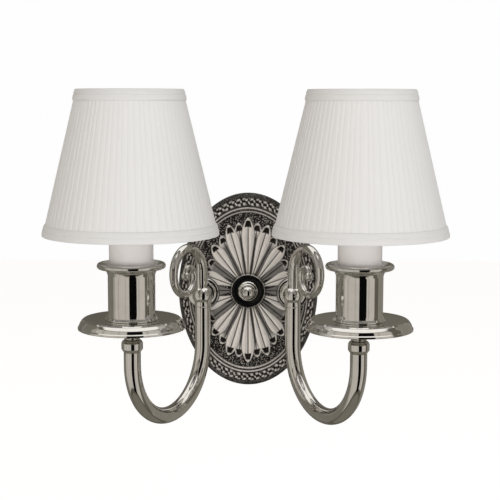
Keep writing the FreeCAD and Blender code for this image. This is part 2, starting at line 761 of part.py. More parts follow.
tip_radius = s.bulb_radius * 0.55
tip_tall = s.bulb_tall * 0.15
candle_nipples = []
contacts = []
nipple_nuts = []
for side, sign in SIDES.items():
    axis = {"across": s.candle_side * sign, "out": -s.candle_reach}
    hole = s.nipple_radius + 0.2
    turned("collar_" + side, [
        (hole, 0),
        (s.tube_radius + 0.3, 0),
        (s.collar_radius, 2.2),
        (s.collar_radius, s.collar_tall - 2.4, 3.2),
        (s.neck_radius + 0.8, s.collar_tall),
        (hole, s.collar_tall),
    ], up=s.collar_foot, **axis)
    turned("neck_" + side, [
        (hole, 0),
        (s.neck_radius - 0.6, 0),
        (s.neck_radius, 1.4, 1.4),
        (s.neck_radius - 0.8, 3.2),
        (s.neck_radius - 0.8, neck_tall - 6.5, -8),
        (s.neck_radius + 2.4, neck_tall - 1.4),
        (s.neck_radius + 2.4, neck_tall),
        (hole, neck_tall),
    ], up=collar_top, **axis)
    drop = s.dish_drop
    ridge = drop + s.ridge_rise
    turned("dish_" + side, [
        (hole, drop - s.dish_wall),
        (s.cup_foot_radius + 6, drop - s.dish_wall),
        (s.ridge_radius - 1.4, ridge - s.dish_wall, 14),
        (s.dish_radius - s.dish_wall, 0),
        (s.dish_radius, 0),
        (s.dish_radius, 1.6),
        (s.dish_radius - 0.7, 2.2, 14),
        (s.ridge_radius + 0.2, ridge - 1.0, 1.3),
        (s.ridge_radius - 1.2, ridge, s.dish_radius * -1.4),
        (s.cup_foot_radius + 3, drop),
        (hole, drop),
    ], up=s.dish_seat - drop, **axis)
    rim = s.cup_tall
    roll = s.lip_radius * math.sqrt(0.5)
    inside = s.cup_radius - s.cup_wall
    turned("cup_" + side, [
        (hole, 0),
        (s.cup_foot_radius, 0),
        (s.cup_foot_radius, 1.0, -4.2),
        (s.cup_radius, s.cup_foot),
        (s.cup_radius, rim - 7.4, -7.4),
        (s.lip_reach - roll, rim - roll, s.lip_radius),
        (s.lip_reach + s.lip_radius, rim, s.lip_radius),
        (s.lip_reach - roll, rim + roll, 9.5),
        (inside, rim - 6.2),
        (inside, floor_thick),
        (hole, floor_thick),
    ], up=s.dish_seat, **axis)
    nipple_foot = s.collar_foot - 4
    nipple_tall = cup_floor + s.strap_thick + s.arm_nut_thick + 1 - nipple_foot
    nipple = ring(s.nipple_bore, s.nipple_radius, 0, nipple_tall)
    candle_nipples.append(turned("candle_nipple_" + side, nipple, up=nipple_foot, **axis))
    nipple_nuts.append(nut("nipple_nut_" + side, s.arm_nut_flat, s.arm_nut_thick, nut_bore,
                           up=cup_floor + s.strap_thick, **axis))
    socket_bracket("socket_bracket_" + side, up=cup_floor, **axis)
    socket_hole = shell_radius + s.thread_gap
    turned("socket_" + side, [
        (s.lead_radius + 0.4, 0),
        (s.socket_radius - 1, 0),
        (s.socket_radius, 1),
        (s.socket_radius, s.socket_tall),
        (socket_hole, s.socket_tall),
        (socket_hole, shell_foot - socket_seat),
        (s.lead_radius + 0.4, shell_foot - socket_seat),
    ], up=socket_seat, **axis)
    turned("screw_shell_" + side, [
        (shell_radius - s.shell_wall, 0.6),
        (shell_radius - 5, 0.6),
        (shell_radius - 5, 0),
        (shell_radius, 0),
        (shell_radius, s.socket_tall - 11.5),
        (shell_radius - s.shell_wall, s.socket_tall - 11.5),
    ], up=shell_foot, **axis)
    button = [(0, 0), (4, 0), (4, 0.8), (2.2, 3), (0, 3)]
    contacts.append(turned("contact_" + side, button, up=shell_foot, **axis))
    turned("candle_sleeve_" + side, ring(sleeve_radius - s.sleeve_wall, sleeve_radius, 0, s.sleeve_tall),
           up=cup_floor, **axis)
    turned("bulb_base_" + side, [
        (0, 0),
        (3.6, 0),
        (4.4, 1.6),
        (s.base_radius - 3.5, 4),
        (s.base_radius, 5.5),
        (s.base_radius, s.base_tall),
        (0, s.base_tall),
    ], up=base_foot, **axis)
    turned("bulb_glass_" + side, [
        (0, 0),
        (s.base_radius - 0.6, 0),
        (s.base_radius - 0.4, glass_neck, s.bulb_tall * 0.8),
        (s.bulb_radius, s.bulb_tall * 0.41, s.bulb_tall * 0.8),
        (tip_radius, s.bulb_tall - tip_tall, cap_radius(tip_radius, tip_tall)),
        (0, s.bulb_tall),
    ], up=glass_foot, **axis)
group("candle_nipples", candle_nipples)
group("nipple_nuts", nipple_nuts)
group("socket_contacts", contacts)

# ---------------------------------------------------------------- leads inside the arms


def arm_lead(label, sign):
    """Insulated lead from the socket down the candle, round the arm, through the ball and out behind."""
    feature = doc.addObject("Part::Feature", label)
    ball = Vector(sign * s.ball_side.value, -s.ball_reach.value, s.arm_height.value)
    candle = Vector(sign * s.candle_side.value, -s.candle_reach.value, socket_seat.value)
    low = s.arm_height.value - arm_depth.value
    points = [
        candle,
        Vector(candle.x, candle.y, low),
        Vector(ball.x, ball.y, low),
        ball,
        Vector(ball.x, -2.0, ball.z),
    ]
    bend = arm_bend.value
    feature.Shape = wire_along(points, [bend, bend, 2.4 * s.lead_radius.value], s.lead_radius.value)
    return keep(feature, label)


for side, sign in SIDES.items():
    arm_lead("lead_" + side, sign)

# ---------------------------------------------------------------- shades

slope = (s.shade_low_radius - s.shade_top_radius) / s.shade_tall
wall = s.cover_thick + s.lining_thick + 0.1
skin_gap = as_size(0.1)


def shade_ring(label, radius, up, **at):
    """A wire ring."""
    torus = doc.addObject("Part::Torus", label)
    bind(torus, "Radius1", radius)
    bind(torus, "Radius2", s.wire_radius)
    place(torus, up=up, turn=Rotation(Vector(0, 0, 1), 45), **at)
    return torus


def level_rod(label, radius, from_x, to_x, up, candle):
    """A cylinder that lies along X, measured from the candle's axis."""
    cylinder = doc.addObject("Part::Cylinder", label)
    bind(cylinder, "Radius", radius)
    bind(cylinder, "Height", to_x - from_x)
    place(cylinder, across=candle["across"] + from_x, out=candle["out"], up=up,
          turn=Rotation(Vector(0, 1, 0), 90))
    return cylinder


def hanger_arms(label, candle):
    """Two wires that slope out from the hanger's barrels and turn up into the top ring."""
    feature = doc.addObject("Part::Feature", label)
    wire = s.wire_radius.value
    start = s.axle_radius.value + s.axle_gap.value + wire
    under_trim = s.trim_leg.value + 2 * wire
    rods = []
    for way in (-1, 1):
        points = [
            Vector(barrel_middle.value * way, 0, hanger.value + start),
            Vector(top_ring_radius.value * way, 0, top_ring_up.value - under_trim),
            Vector(top_ring_radius.value * way, 0, top_ring_up.value),
        ]
        rods.append(wire_along(points, [2 * wire], wire))
    feature.Shape = Part.makeCompound(rods)
    place(feature, up=0, **candle)
    return feature


def bulb_clip(label, candle):
    """Axle that carries the shade, with a wire loop before and behind that grips the bulb."""
    feature = doc.addObject("Part::Feature", label)
    wire = s.clip_wire.value
    top = hanger.value
    middle = glass_foot.value + s.bulb_tall.value * 0.41
    grip = s.bulb_radius.value + s.clip_gap.value + wire
    shoulder = grip * 0.7
    half = 7.0
    half_axle = axle_half.value
    axle = Part.makeCylinder(s.axle_radius.value, 2 * half_axle, Vector(-half_axle, 0, top), Vector(1, 0, 0))
    stops = [Part.makeCylinder(s.stop_radius.value, 1.0, Vector(x, 0, top), Vector(1, 0, 0))
             for x in (-half_axle - 1.0, half_axle)]
    loops = []
    for way in (-1, 1):
        points = [
            Vector(-half * 0.5, 0, top),
            Vector(-half, way * shoulder, top - 5),
            Vector(-half, way * grip, middle + 12),
            Vector(-half, way * grip, middle - 8),
            Vector(half, way * grip, middle - 8),
            Vector(half, way * grip, middle + 12),
            Vector(half, way * shoulder, top - 5),
            Vector(half * 0.5, 0, top),
        ]
        loops.append(wire_along(points, [3, 6, 4, 4, 6, 3], wire))
    feature.Shape = axle.multiFuse(stops + loops)
    place(feature, up=0, **candle)
    return keep(feature, label)


barrel_radius = s.axle_radius + s.axle_gap + 0.9
barrel_middle = as_size(9.5)
barrel_half = as_size(2.0)
axle_half = barrel_middle + barrel_half + 0.3
top_ring_up = shade_top - s.wire_radius
top_ring_radius = s.shade_top_radius - wall - s.wire_radius - skin_gap
low_ring_radius = s.shade_low_radius - wall - s.wire_radius - slope * s.wire_radius * 2 - skin_gap

for side, sign in SIDES.items():
    axis = {"across": s.candle_side * sign, "out": -s.candle_reach}
    bulb_clip("bulb_clip_" + side, axis)
    barrels = []
    for way in (-1, 1):
        low = barrel_middle * way - barrel_half
        high = barrel_middle * way + barrel_half
        tube = doc.addObject("Part::Cut", "Barrel")
        tube.Base = level_rod("BarrelOutside", barrel_radius, low, high, hanger, axis)
        tube.Tool = level_rod("BarrelBore", s.axle_radius + s.axle_gap, low, high, hanger, axis)
        barrels.append(tube)
    spider = doc.addObject("Part::MultiFuse", "Spider")
    arms = hanger_arms("HangerArms", axis)
    spider.Shapes = [shade_ring("TopRing", top_ring_radius, top_ring_up, **axis), arms] + barrels
    clear = doc.addObject("Part::Cut", "ShadeHanger")
    clear.Base = spider
    clear.Tool = level_rod("AxleRoom", s.axle_radius + s.axle_gap, -axle_half, axle_half, hanger, axis)
    keep(clear, "shade_hanger_" + side)
    keep(shade_ring("LowRing", low_ring_radius, shade_foot + s.wire_radius, **axis), "bottom_ring_" + side)
    turned("shade_cover_" + side, [
        (s.shade_low_radius - s.cover_thick, 0),
        (s.shade_low_radius, 0),
        (s.shade_top_radius, s.shade_tall),
        (s.shade_top_radius - s.cover_thick, s.shade_tall),
    ], up=shade_foot, **axis)
    skin = s.cover_thick + 0.1
    turned("shade_lining_" + side, [
        (s.shade_low_radius - wall, 0),
        (s.shade_low_radius - skin, 0),
        (s.shade_top_radius - skin, s.shade_tall),
        (s.shade_top_radius - wall, s.shade_tall),
    ], up=shade_foot, **axis)
    within = s.shade_low_radius - wall - s.wire_radius * 2 - slope * s.wire_radius * 2 - skin_gap * 2
    outer = s.shade_low_radius + skin_gap
    fold = s.trim_thick
    turned("bottom_trim_" + side, [
        (within - fold, -fold * 0.4),
        (within, -fold, 30),
        (outer, -fold, 2.4),
        (outer + fold, fold, 12),
        (outer + fold - slope * s.trim_tall, s.trim_tall),
        (outer - slope * s.trim_tall, s.trim_tall),
        (outer, 0),
        (within, 0),
        (within - slope * s.trim_leg, s.trim_leg),
        (within - slope * s.trim_leg - fold, s.trim_leg),
    ], up=shade_foot, **axis)
    within = top_ring_radius - s.wire_radius - skin_gap
    outer = s.shade_top_radius + skin_gap
    turned("top_trim_" + side, [
        (outer + slope * s.trim_tall, -s.trim_tall),
        (outer + slope * s.trim_tall + fold, -s.trim_tall, 12),
        (outer + fold, -fold, 2.4),
        (outer, fold),
        (within, fold),
        (within - fold, fold * 0.4),
        (within - fold, -s.trim_leg),
        (within, -s.trim_leg),
        (within, 0),
        (outer, 0),
    ], up=shade_top, **axis)

# ---------------------------------------------------------------- check and write

doc.recompute()
faults = [item.Label for item in doc.Objects if "Invalid" in item.State or "Error" in item.State]
faults += [item.Label for item in sub_parts if item.Shape.isNull() or not item.Shape.isValid()]
if faults:
    raise SystemExit("These pieces failed: " + ", ".join(faults))
os.makedirs("parts", exist_ok=True)
for item in sub_parts:
    item.Shape.exportStep(f"parts/{item.Label}.step")
print(len(sub_parts), "sub-parts,", sum(len(item.Shape.Solids) for item in sub_parts), "solids")
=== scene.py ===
"""Double arm wall sconce: polished nickel arms on an antiqued oval plate, with pleated clip-on shades."""

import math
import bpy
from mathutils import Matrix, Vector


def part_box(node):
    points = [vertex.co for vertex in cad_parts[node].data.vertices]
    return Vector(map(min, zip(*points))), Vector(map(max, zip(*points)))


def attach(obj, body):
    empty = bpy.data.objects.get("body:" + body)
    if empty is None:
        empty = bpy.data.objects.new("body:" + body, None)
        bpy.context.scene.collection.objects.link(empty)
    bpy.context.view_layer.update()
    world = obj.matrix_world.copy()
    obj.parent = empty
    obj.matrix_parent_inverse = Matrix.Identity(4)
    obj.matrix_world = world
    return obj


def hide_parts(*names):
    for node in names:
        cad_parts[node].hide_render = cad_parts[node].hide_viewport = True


bl_info = {
    "name": "Double Arm Wall Sconce",
    "version": (1, 0, 0),
    "blender": (4, 5, 0),
    "location": "View3D > Sidebar > Sconce",
    "description": "Dresses the sconce's frame in cast, turned and bent nickel and pleated fabric",
    "category": "Object",
}

import bpy
import numpy as np
from bpy.props import FloatProperty, FloatVectorProperty, IntProperty, PointerProperty
from bpy.types import Operator, Panel, PropertyGroup
from mathutils import Matrix, Vector

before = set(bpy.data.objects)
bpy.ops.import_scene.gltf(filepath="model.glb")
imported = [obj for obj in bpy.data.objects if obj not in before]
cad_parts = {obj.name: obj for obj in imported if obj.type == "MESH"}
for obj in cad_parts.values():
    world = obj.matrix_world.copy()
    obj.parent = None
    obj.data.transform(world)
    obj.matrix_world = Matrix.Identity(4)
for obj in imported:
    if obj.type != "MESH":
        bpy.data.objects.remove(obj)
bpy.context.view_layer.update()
SIDES = {"left": -1, "right": 1}
MM = 0.001
SAME_POINT = 0.01  # millimetres: points of an outline that lie nearer are one


# ---- sizes read from the frame


def box_mm(node):
    """Lowest and highest corner of a CAD node, in millimetres."""
    low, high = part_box(node)
    return np.array(low) / MM, np.array(high) / MM


def middle_of(node):
    """Centre of a CAD node's box, in millimetres."""
    low, high = box_mm(node)
    return (low + high) / 2


def foot_of(node):
    """Centre of a node's underside, in millimetres."""
    return np.array([*middle_of(node)[:2], box_mm(node)[0][2]])


def back_of(node):
    """Centre of a node's rear face, in millimetres."""
    middle = middle_of(node)
    return np.array([middle[0], box_mm(node)[1][1], middle[2]])


def measures(node):
    """Half width, depth and height of a node, in millimetres."""
    low, high = box_mm(node)
    wide, deep, tall = high - low
    return wide / 2, deep, tall


# ---- settings


def colour_setting(name, description, default):
    """A colour among the settings."""
    return FloatVectorProperty(name=name, description=description, subtype="COLOR", default=default)


class SconceMetal(PropertyGroup):
    """Finish of the nickel."""

    nickel: colour_setting("Nickel", "Polished nickel plate", (0.74, 0.725, 0.69))
    polish: FloatProperty(name="Polish", description="Roughness of the polished nickel", default=0.05,
                          min=0.0, max=1.0, subtype="FACTOR")
    patina: colour_setting("Patina", "Dark metal in the plate's recesses", (0.016, 0.014, 0.012))
    worn: colour_setting("Worn edge", "Bright metal on the plate's raised forms", (0.88, 0.825, 0.765))


class SconceShade(PropertyGroup):
    """Pleated shades."""

    pleats: IntProperty(name="Pleats", description="Pleats round each shade", default=72, min=12, max=200)
    pleat_depth: FloatProperty(name="Pleat depth", description="How far a pleat stands out", default=0.0003,
                               min=0.0, unit="LENGTH")
    fabric: colour_setting("Fabric", "Off-white pleated cloth", (0.76, 0.745, 0.725))
    sleeve: colour_setting("Candle", "Warm white candle sleeve", (0.93, 0.885, 0.86))


class SconcePlate(PropertyGroup):
    """Carving of the back plate. The reaches run from its middle to the petals' tips."""

    petals: IntProperty(name="Petals", description="Petals in the front ring", default=14, min=4, max=40)
    reach_side: FloatProperty(name="Reach", description="Petal tips, sideways", default=0.0405, unit="LENGTH")
    reach_up: FloatProperty(name="Rise", description="Petal tips, upwards", default=0.0648, unit="LENGTH")
    scrolls: IntProperty(name="Scrolls", description="Running scrolls round the border", default=60, min=8)

class SconceCamera(PropertyGroup):
    """The photograph's viewpoint."""

    place: FloatVectorProperty(name="Place", description="Camera position", subtype="TRANSLATION",
                               default=(0.0221, -1.0750, 0.1670), unit="LENGTH", precision=4)
    yaw: FloatProperty(name="Yaw", description="Turn to the right, degrees", default=-1.1)
    pitch: FloatProperty(name="Pitch", description="Tilt up, degrees", default=-7.0)
    roll: FloatProperty(name="Roll", description="Tilt of the horizon, degrees", default=0.1)
    focal: FloatProperty(name="Focal length", description="In pixels of a 500 pixel frame", default=1216.6)


# ---- shader maths


class Value:
    """A node socket that takes part in Python expressions, with others and with plain numbers."""

    def __init__(self, shader, socket):
        self.shader = shader
        self.socket = socket

    def _math(self, kind, *values):
        return self.shader.node("ShaderNodeMath", {"operation": kind}, values)

    def __add__(self, other):
        return self._math("ADD", self, other)

    def __sub__(self, other):
        return self._math("SUBTRACT", self, other)

    def __rsub__(self, other):
        return self._math("SUBTRACT", other, self)

    def __mul__(self, other):
        return self._math("MULTIPLY", self, other)

    def ramp(self, low, high):
        """0 below low, 1 above high, smooth between."""
        return self.shader.node("ShaderNodeMapRange", {"interpolation_type": "SMOOTHSTEP"},
                                {"Value": self, "From Min": low, "From Max": high})

    def between(self, low, high, soft):
        """1 between two limits, with soft edges."""
        return self.ramp(low - soft, low + soft) * (1 - self.ramp(high - soft, high + soft))

    def clamp(self):
        """Kept within 0 and 1."""
        return self.shader.node("ShaderNodeClamp", {}, {"Value": self})


class Shader:
    """A node tree that is being written."""

    def __init__(self, tree):
        self.tree = tree
        tree.nodes.clear()

    def node(self, kind, settings, inputs=(), output=0):
        """Make a node: settings first, then the values or links of its sockets. Gives one output."""
        made = self.tree.nodes.new(kind)
        for field, setting in settings.items():
            setattr(made, field, setting)
        pairs = inputs.items() if isinstance(inputs, dict) else enumerate(inputs)
        for key, value in pairs:
            socket = made.inputs[key]
            if isinstance(value, Value):
                self.tree.links.new(value.socket, socket)
                continue
            if socket.type == "RGBA":
                value = (*value, 1.0)
            socket.default_value = value
        return Value(self, made.outputs[output]) if made.outputs else None

    def outputs(self, kind, *names):
        """Several outputs of a node that takes no inputs."""
        made = self.tree.nodes.new(kind)
        return [Value(self, made.outputs[name]) for name in names]

    def place(self):
        """Object coordinates."""
        return self.node("ShaderNodeTexCoord", {}, output="Object")

    def attribute(self, name):
        """A value stored on the mesh."""
        return self.node("ShaderNodeAttribute", {"attribute_name": name}, output="Fac")

    def noise(self, where, scale, detail=4.0):
        """Smooth noise from 0 to 1."""
        inputs = {"Vector": where, "Scale": scale, "Detail": detail, "Roughness": 0.55}
        return self.node("ShaderNodeTexNoise", {}, inputs)

    def cells(self, where, scale):
        """Distance to the nearest of scattered points."""
        return self.node("ShaderNodeTexVoronoi", {}, {"Vector": where, "Scale": scale})

    def stretch(self, where, scale):
        """Coordinates scaled along each axis."""
        return self.node("ShaderNodeMapping", {}, {"Vector": where, "Scale": scale})

    def mix(self, share, low, high):
        """Blend of two colours: sockets 6 and 7 and output 2 are the Mix node's colours."""
        inputs = {"Factor": share, 6: low, 7: high}
        return self.node("ShaderNodeMix", {"data_type": "RGBA"}, inputs, output=2)

    def bump(self, height, strength, distance):
        """Normal of a fine relief."""
        inputs = {"Strength": strength, "Distance": distance, "Height": height}
        return self.node("ShaderNodeBump", {}, inputs)

    def surface(self, **sockets):
        """Principled shader joined to the output. Underscores in a name stand for spaces."""
        inputs = {name.replace("_", " "): value for name, value in sockets.items()}
        shader = self.node("ShaderNodeBsdfPrincipled", {}, inputs)
        self.node("ShaderNodeOutputMaterial", {}, {"Surface": shader})


def material(write, name="", *details):
    """A material written once and shared after that, named after its writer unless a name is given.

    The prefix keeps it apart from the frame's own materials.
    """
    name = "sconce_" + (name or write.__name__)
    made = bpy.data.materials.get(name)
    if made is None:
        made = bpy.data.materials.new(name)
        made.use_nodes = True
        write(Shader(made.node_tree), *details)
    return made


def scaled(colour, share):
    """A colour darkened to a share of itself."""
    return tuple(part * share for part in colour)


def polished_nickel(sh):
    """Mirror-polished nickel: faint lapping haze and a very slight ripple."""
    metal = bpy.context.scene.sconce_metal
    where = sh.place()
    haze = sh.noise(where, 90.0, 5.0)
    ripple = sh.noise(where, 160.0, 2.0)
    tint = sh.mix(haze.ramp(0.35, 0.7), tuple(metal.nickel), scaled(metal.nickel, 0.93))
    sh.surface(Base_Color=tint, Metallic=1.0, Roughness=haze * 0.05 + (metal.polish - 0.02),
               Normal=sh.bump(ripple, 0.02, 0.0004))


def antique_nickel(sh):
    """Cast nickel, darkened in its recesses and rubbed bright on its raised forms."""
    metal = bpy.context.scene.sconce_metal
    where = sh.place()
    worn = sh.attribute("worn")
    stipple = sh.attribute("stipple")
    specks = 1 - sh.cells(where, 760.0).ramp(0.12, 0.55)
    grain = specks * 0.8 + sh.noise(where, 900.0, 3.0) * 0.4
    cloud = (sh.noise(where, 220.0) - 0.5) * (stipple * 0.25 + 0.12)
    shade = (worn + (grain - 0.40) * stipple * 0.8 + cloud).clamp()
    sh.surface(Base_Color=sh.mix(shade, tuple(metal.patina), tuple(metal.worn)), Metallic=0.45,
               Roughness=0.40 - shade * 0.10, Specular_IOR_Level=0.25,
               Normal=sh.bump(grain * stipple, 0.8, 0.0005))


def black_enamel(sh):
    """Gloss black with a slight orange peel, for the dark ring round the knob's foot."""
    peel = sh.noise(sh.place(), 700.0, 2.0)
    sh.surface(Base_Color=sh.mix(peel, (0.003, 0.003, 0.003), (0.006, 0.006, 0.006)), Roughness=0.14,
               Specular_IOR_Level=0.18, Normal=sh.bump(peel, 0.05, 0.0003))


def plated_metal(sh, colour, rough):
    """Plated metal with a drawn grain."""
    where = sh.place()
    grain = sh.noise(sh.stretch(where, (1.0, 1.0, 0.12)), 900.0)
    bloom = sh.noise(where, 60.0, 3.0)
    sh.surface(Base_Color=sh.mix(bloom, scaled(colour, 0.85), colour), Metallic=1.0,
               Roughness=grain * 0.14 + (rough - 0.07), Normal=sh.bump(grain, 0.08, 0.0003))


def moulding(sh, colour, rough, grain_size=1200.0):
    """Moulded or coated surface with a fine even texture."""
    where = sh.place()
    grain = sh.noise(where, grain_size, 3.0)
    cloud = sh.noise(where, 45.0, 3.0)
    sh.surface(Base_Color=sh.mix(cloud, scaled(colour, 0.965), colour),
               Roughness=grain * 0.1 + (rough - 0.05), Normal=sh.bump(grain, 0.06, 0.0003))


def cloth(sh, tint, rough, relief):
    """Matt cloth of a tint, with the faint sheen of its fibres and its threads in relief."""
    sh.surface(Base_Color=tint, Roughness=rough, Sheen_Weight=0.15, Sheen_Roughness=0.5,
               Normal=sh.bump(relief, 0.12, 0.0003))


def pleated_cloth(sh):
    """Fine off-white cloth over a white lining: thread along and across, and painted soft shade in the folds.
    """
    light = tuple(bpy.context.scene.sconce_shade.fabric)
    where = sh.place()
    fold = sh.attribute("fold")
    weave = sh.noise(sh.stretch(where, (1.0, 1.0, 0.2)), 1600.0, 3.0)
    slub = sh.noise(sh.stretch(where, (1.0, 1.0, 0.06)), 240.0)
    # Painted shade: darker towards each pleat's hollow as the fold value falls.
    tint = sh.mix((fold * 0.75 + slub * 0.25).clamp(), scaled(light, 0.94), light)
    cloth(sh, tint, 0.86, weave + slub * 0.5)


def trim_cloth(sh):
    """Folded bias trim, a little smoother and darker than the pleats."""
    light = scaled(bpy.context.scene.sconce_shade.fabric, 0.95)
    where = sh.place()
    weave = sh.noise(where, 1500.0, 3.0)
    wave = sh.noise(where, 70.0, 2.0)
    cloth(sh, sh.mix(wave, scaled(light, 0.955), light), 0.84, weave)


def frosted_glass(sh):
    """Frosted white bulb."""
    frost = sh.noise(sh.place(), 1500.0, 2.0)
    sh.surface(Base_Color=sh.mix(frost, (0.88, 0.87, 0.84), (0.93, 0.92, 0.90)), Roughness=0.42,
               Coat_Weight=0.3, Normal=sh.bump(frost, 0.05, 0.0002))


def studio_floor(sh):
    """Matt white that shows white to the camera and still takes the object's shadow."""
    matt = sh.node("ShaderNodeBsdfDiffuse", {}, {"Color": (0.9, 0.9, 0.9)})
    seen = sh.outputs("ShaderNodeLightPath", "Is Camera Ray")[0]
    lift = sh.node("ShaderNodeEmission", {}, {"Color": (1, 1, 1), "Strength": seen * 0.50})
    both = sh.node("ShaderNodeAddShader", {}, [matt, lift])
    sh.node("ShaderNodeOutputMaterial", {}, {"Surface": both})


# ---- surfaces


def piece(name, points, faces, finish, body, nodes=(), values=None):
    """A smooth mesh from a closed surface in millimetres, riding on a body and standing for CAD nodes."""
    mesh = bpy.data.meshes.new(name)
    mesh.from_pydata((points * MM).tolist(), [], outward(points, faces))
    mesh.polygons.foreach_set("use_smooth", np.ones(len(mesh.polygons), dtype=bool))
    for label, data in (values or {}).items():
        layer = mesh.attributes.new(label, "FLOAT", "POINT")
        layer.data.foreach_set("value", np.asarray(data, dtype=np.float32).ravel())
    mesh.materials.append(finish)
    mesh.update()
    made = bpy.data.objects.new(name, mesh)
    bpy.context.collection.objects.link(made)
    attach(made, body)
    if nodes:
        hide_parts(*nodes)


def outward(points, faces):
    """The faces of a closed surface, turned round if its signed volume shows that they point inwards."""
    total = 0.0
    for size in (3, 4):
        corners = np.array([face for face in faces if len(face) == size], int).reshape(-1, size)
        for second in range(1, size - 1):
            a, b, c = (points[corners[:, k]] for k in (0, second, second + 1))
            total += np.einsum("ij,ij->i", a, np.cross(b, c)).sum()
    return [face[::-1] for face in faces] if total < 0 else faces


def grid_faces(rows, columns, round_rows=False):
    """Quads of a grid of points whose columns close on themselves, and its rows too if asked."""
    row = np.arange(rows if round_rows else rows - 1)
    r, c = np.meshgrid(row, np.arange(columns), indexing="ij")
    after_r = (r + 1) % rows
    after_c = (c + 1) % columns
    corners = [r * columns + c, r * columns + after_c, after_r * columns + after_c, after_r * columns + c]
    return np.stack(corners, -1).reshape(-1, 4).tolist()


def capped_faces(rows, columns):
    """Quads of a tube of rows with a fan at each end, whose two poles follow the tube's points."""
    column = np.arange(columns)
    after = (column + 1) % columns
    pole = np.full(columns, rows * columns)
    last = (rows - 1) * columns
    fans = [np.stack([pole, after, column], -1), np.stack([pole + 1, last + column, last + after], -1)]
    return grid_faces(rows, columns) + np.concatenate(fans).tolist()


def circle(count):
    """Evenly spaced angles round a full turn."""
    return np.linspace(0, 2 * math.pi, count, endpoint=False)


def arc_points(radius, angles, out=0, up=0):
    """Corners of an outline that follow an arc round a centre."""
    return [(out + radius * math.cos(angle), up + radius * math.sin(angle)) for angle in angles]


def unit(vector):
    """A vector, or each row of vectors, at length 1."""
    return vector / np.linalg.norm(vector, axis=-1, keepdims=True)


def rounded(corners, steps, closed):
    """Outline with rounded corners: each corner (radius out, length along, rounding) becomes a tangent arc.

    The arc leaves each side at rounding times the tangent of half the turn, and its points lie on the
    circle that touches both sides. It takes less than half of either side.
    """
    most_of_side = 0.49
    points = []
    count = len(corners)
    for number, corner in enumerate(corners):
        here = np.array(corner[:2], float)
        bend = corner[2] if len(corner) > 2 else 0.0
        if bend == 0 or (not closed and number in (0, count - 1)):
            points.append(here)
            continue
        before = np.array(corners[number - 1][:2], float) - here
        after = np.array(corners[(number + 1) % count][:2], float) - here
        reach = min(np.linalg.norm(before), np.linalg.norm(after)) * most_of_side
        before = unit(before)
        after = unit(after)
        half = math.acos(np.clip(before @ after, -1, 1)) / 2
        bend = min(bend, reach * math.tan(half))
        centre = here + unit(before + after) * (bend / math.sin(half))
        first = here + before * bend / math.tan(half) - centre
        last = here + after * bend / math.tan(half) - centre
        sweep = math.atan2(first[0] * last[1] - first[1] * last[0], first @ last)
        turn = np.linspace(0, sweep, steps)
        points.extend(np.stack([centre[0] + first[0] * np.cos(turn) - first[1] * np.sin(turn),
                                centre[1] + first[0] * np.sin(turn) + first[1] * np.cos(turn)], -1))
    points = np.array(points)
    apart = np.linalg.norm(np.diff(points, axis=0), axis=1) > SAME_POINT
    return points[np.concatenate([[True], apart])]


def spun(outline, foot, facing=False, segments=144):
    """An outline carried round an axis through the foot: (r cos a, r sin a, length).

    A facing one points out from the wall: (r cos a, -length, r sin a).
    """
    angle = circle(segments)
    length = np.repeat(outline[:, 1:], segments, axis=1)
    across = outline[:, :1] * np.cos(angle)
    aside = outline[:, :1] * np.sin(angle)
    axes = [across, -length, aside] if facing else [across, aside, length]
    return np.stack(axes, -1).reshape(-1, 3) + foot


def turned(name, corners, foot, finish, body, slot, nodes=(), facing=False, steps=7, segments=144):
    """A lathe piece. An outline that runs from axis to axis gets poles there; any other is a closed ring."""
    poled = corners[0][0] < SAME_POINT
    outline = rounded(corners, steps, closed=not poled)
    if poled:
        outline[[0, -1], 0] = 0
        poles = spun(outline[[0, -1]], foot, facing, 1)
        points = np.vstack([spun(outline[1:-1], foot, facing, segments), poles])
        faces = capped_faces(len(outline) - 2, segments)
    else:
        points = spun(outline, foot, facing, segments)
        faces = grid_faces(len(outline), segments, round_rows=True)
    piece(name, points, faces, finish, body, nodes)


def turned_nickel(node, corners, foot, body="fixture", **how):
    """A polished nickel lathe piece that stands for a CAD node."""
    name = "turned_" + node.removeprefix("arm_")
    turned(name, corners, foot, material(polished_nickel), body, "nickel", (node,), **how)


def swept_nickel(name, node, path, radii, normal, sections):
    """A round nickel rod along a path in one plane: each ring is centre + r (cos a N + sin a T x N)."""
    side = np.cross(unit(np.gradient(path, axis=0)), normal)[:, None, :]
    angle = circle(sections)[None, :, None]
    ring = radii[:, None, None] * (np.cos(angle) * normal + np.sin(angle) * side)
    points = np.vstack([(path[:, None, :] + ring).reshape(-1, 3), path[:1], path[-1:]])
    faces = capped_faces(len(path), sections)
    piece(name, points, faces, material(polished_nickel), "fixture", (node,))


# ---- layout worked out from the frame

BALL_SIDE, _, BALL_UP = middle_of("arm_disc_right")
BALL_OUT = -(box_mm("arm_ball_right")[0][1] + measures("arm_ball_right")[0])
TUBE_RADIUS = BALL_SIDE - box_mm("arm_tube_right")[0][0]
ARM_LOW = box_mm("arm_tube_right")[0][2] + TUBE_RADIUS


def arm_plane(side):
    """The ball's centre, the level direction to the candle, the plane's normal and the arm's span."""
    ball = np.array([SIDES[side] * BALL_SIDE, -BALL_OUT, BALL_UP])
    reach = foot_of("cup_" + side) - ball
    reach[2] = 0
    along = unit(reach)
    return ball, along, np.cross(along, (0, 0, 1)), np.linalg.norm(reach)


def plane_path(ball, along, level, height):
    """Points in an arm's plane: level out from the ball and height above it."""
    return ball + level[:, None] * along + height[:, None] * np.array([0, 0, 1.0])


# ---- back plate


PETAL_ROOT = 14.0  # millimetres from the plate's middle
BACK_RING_REACH = 0.955  # the back petals' tips, as a share of the front ones'
ON_PETAL = 0.02  # a point with a higher outline value lies on a petal
FIELD_END = 0.80  # a share of the way to the rim, as are the border's two
BAND_START, BAND_END = 0.868, 0.955
PLATE_COLUMNS = 576
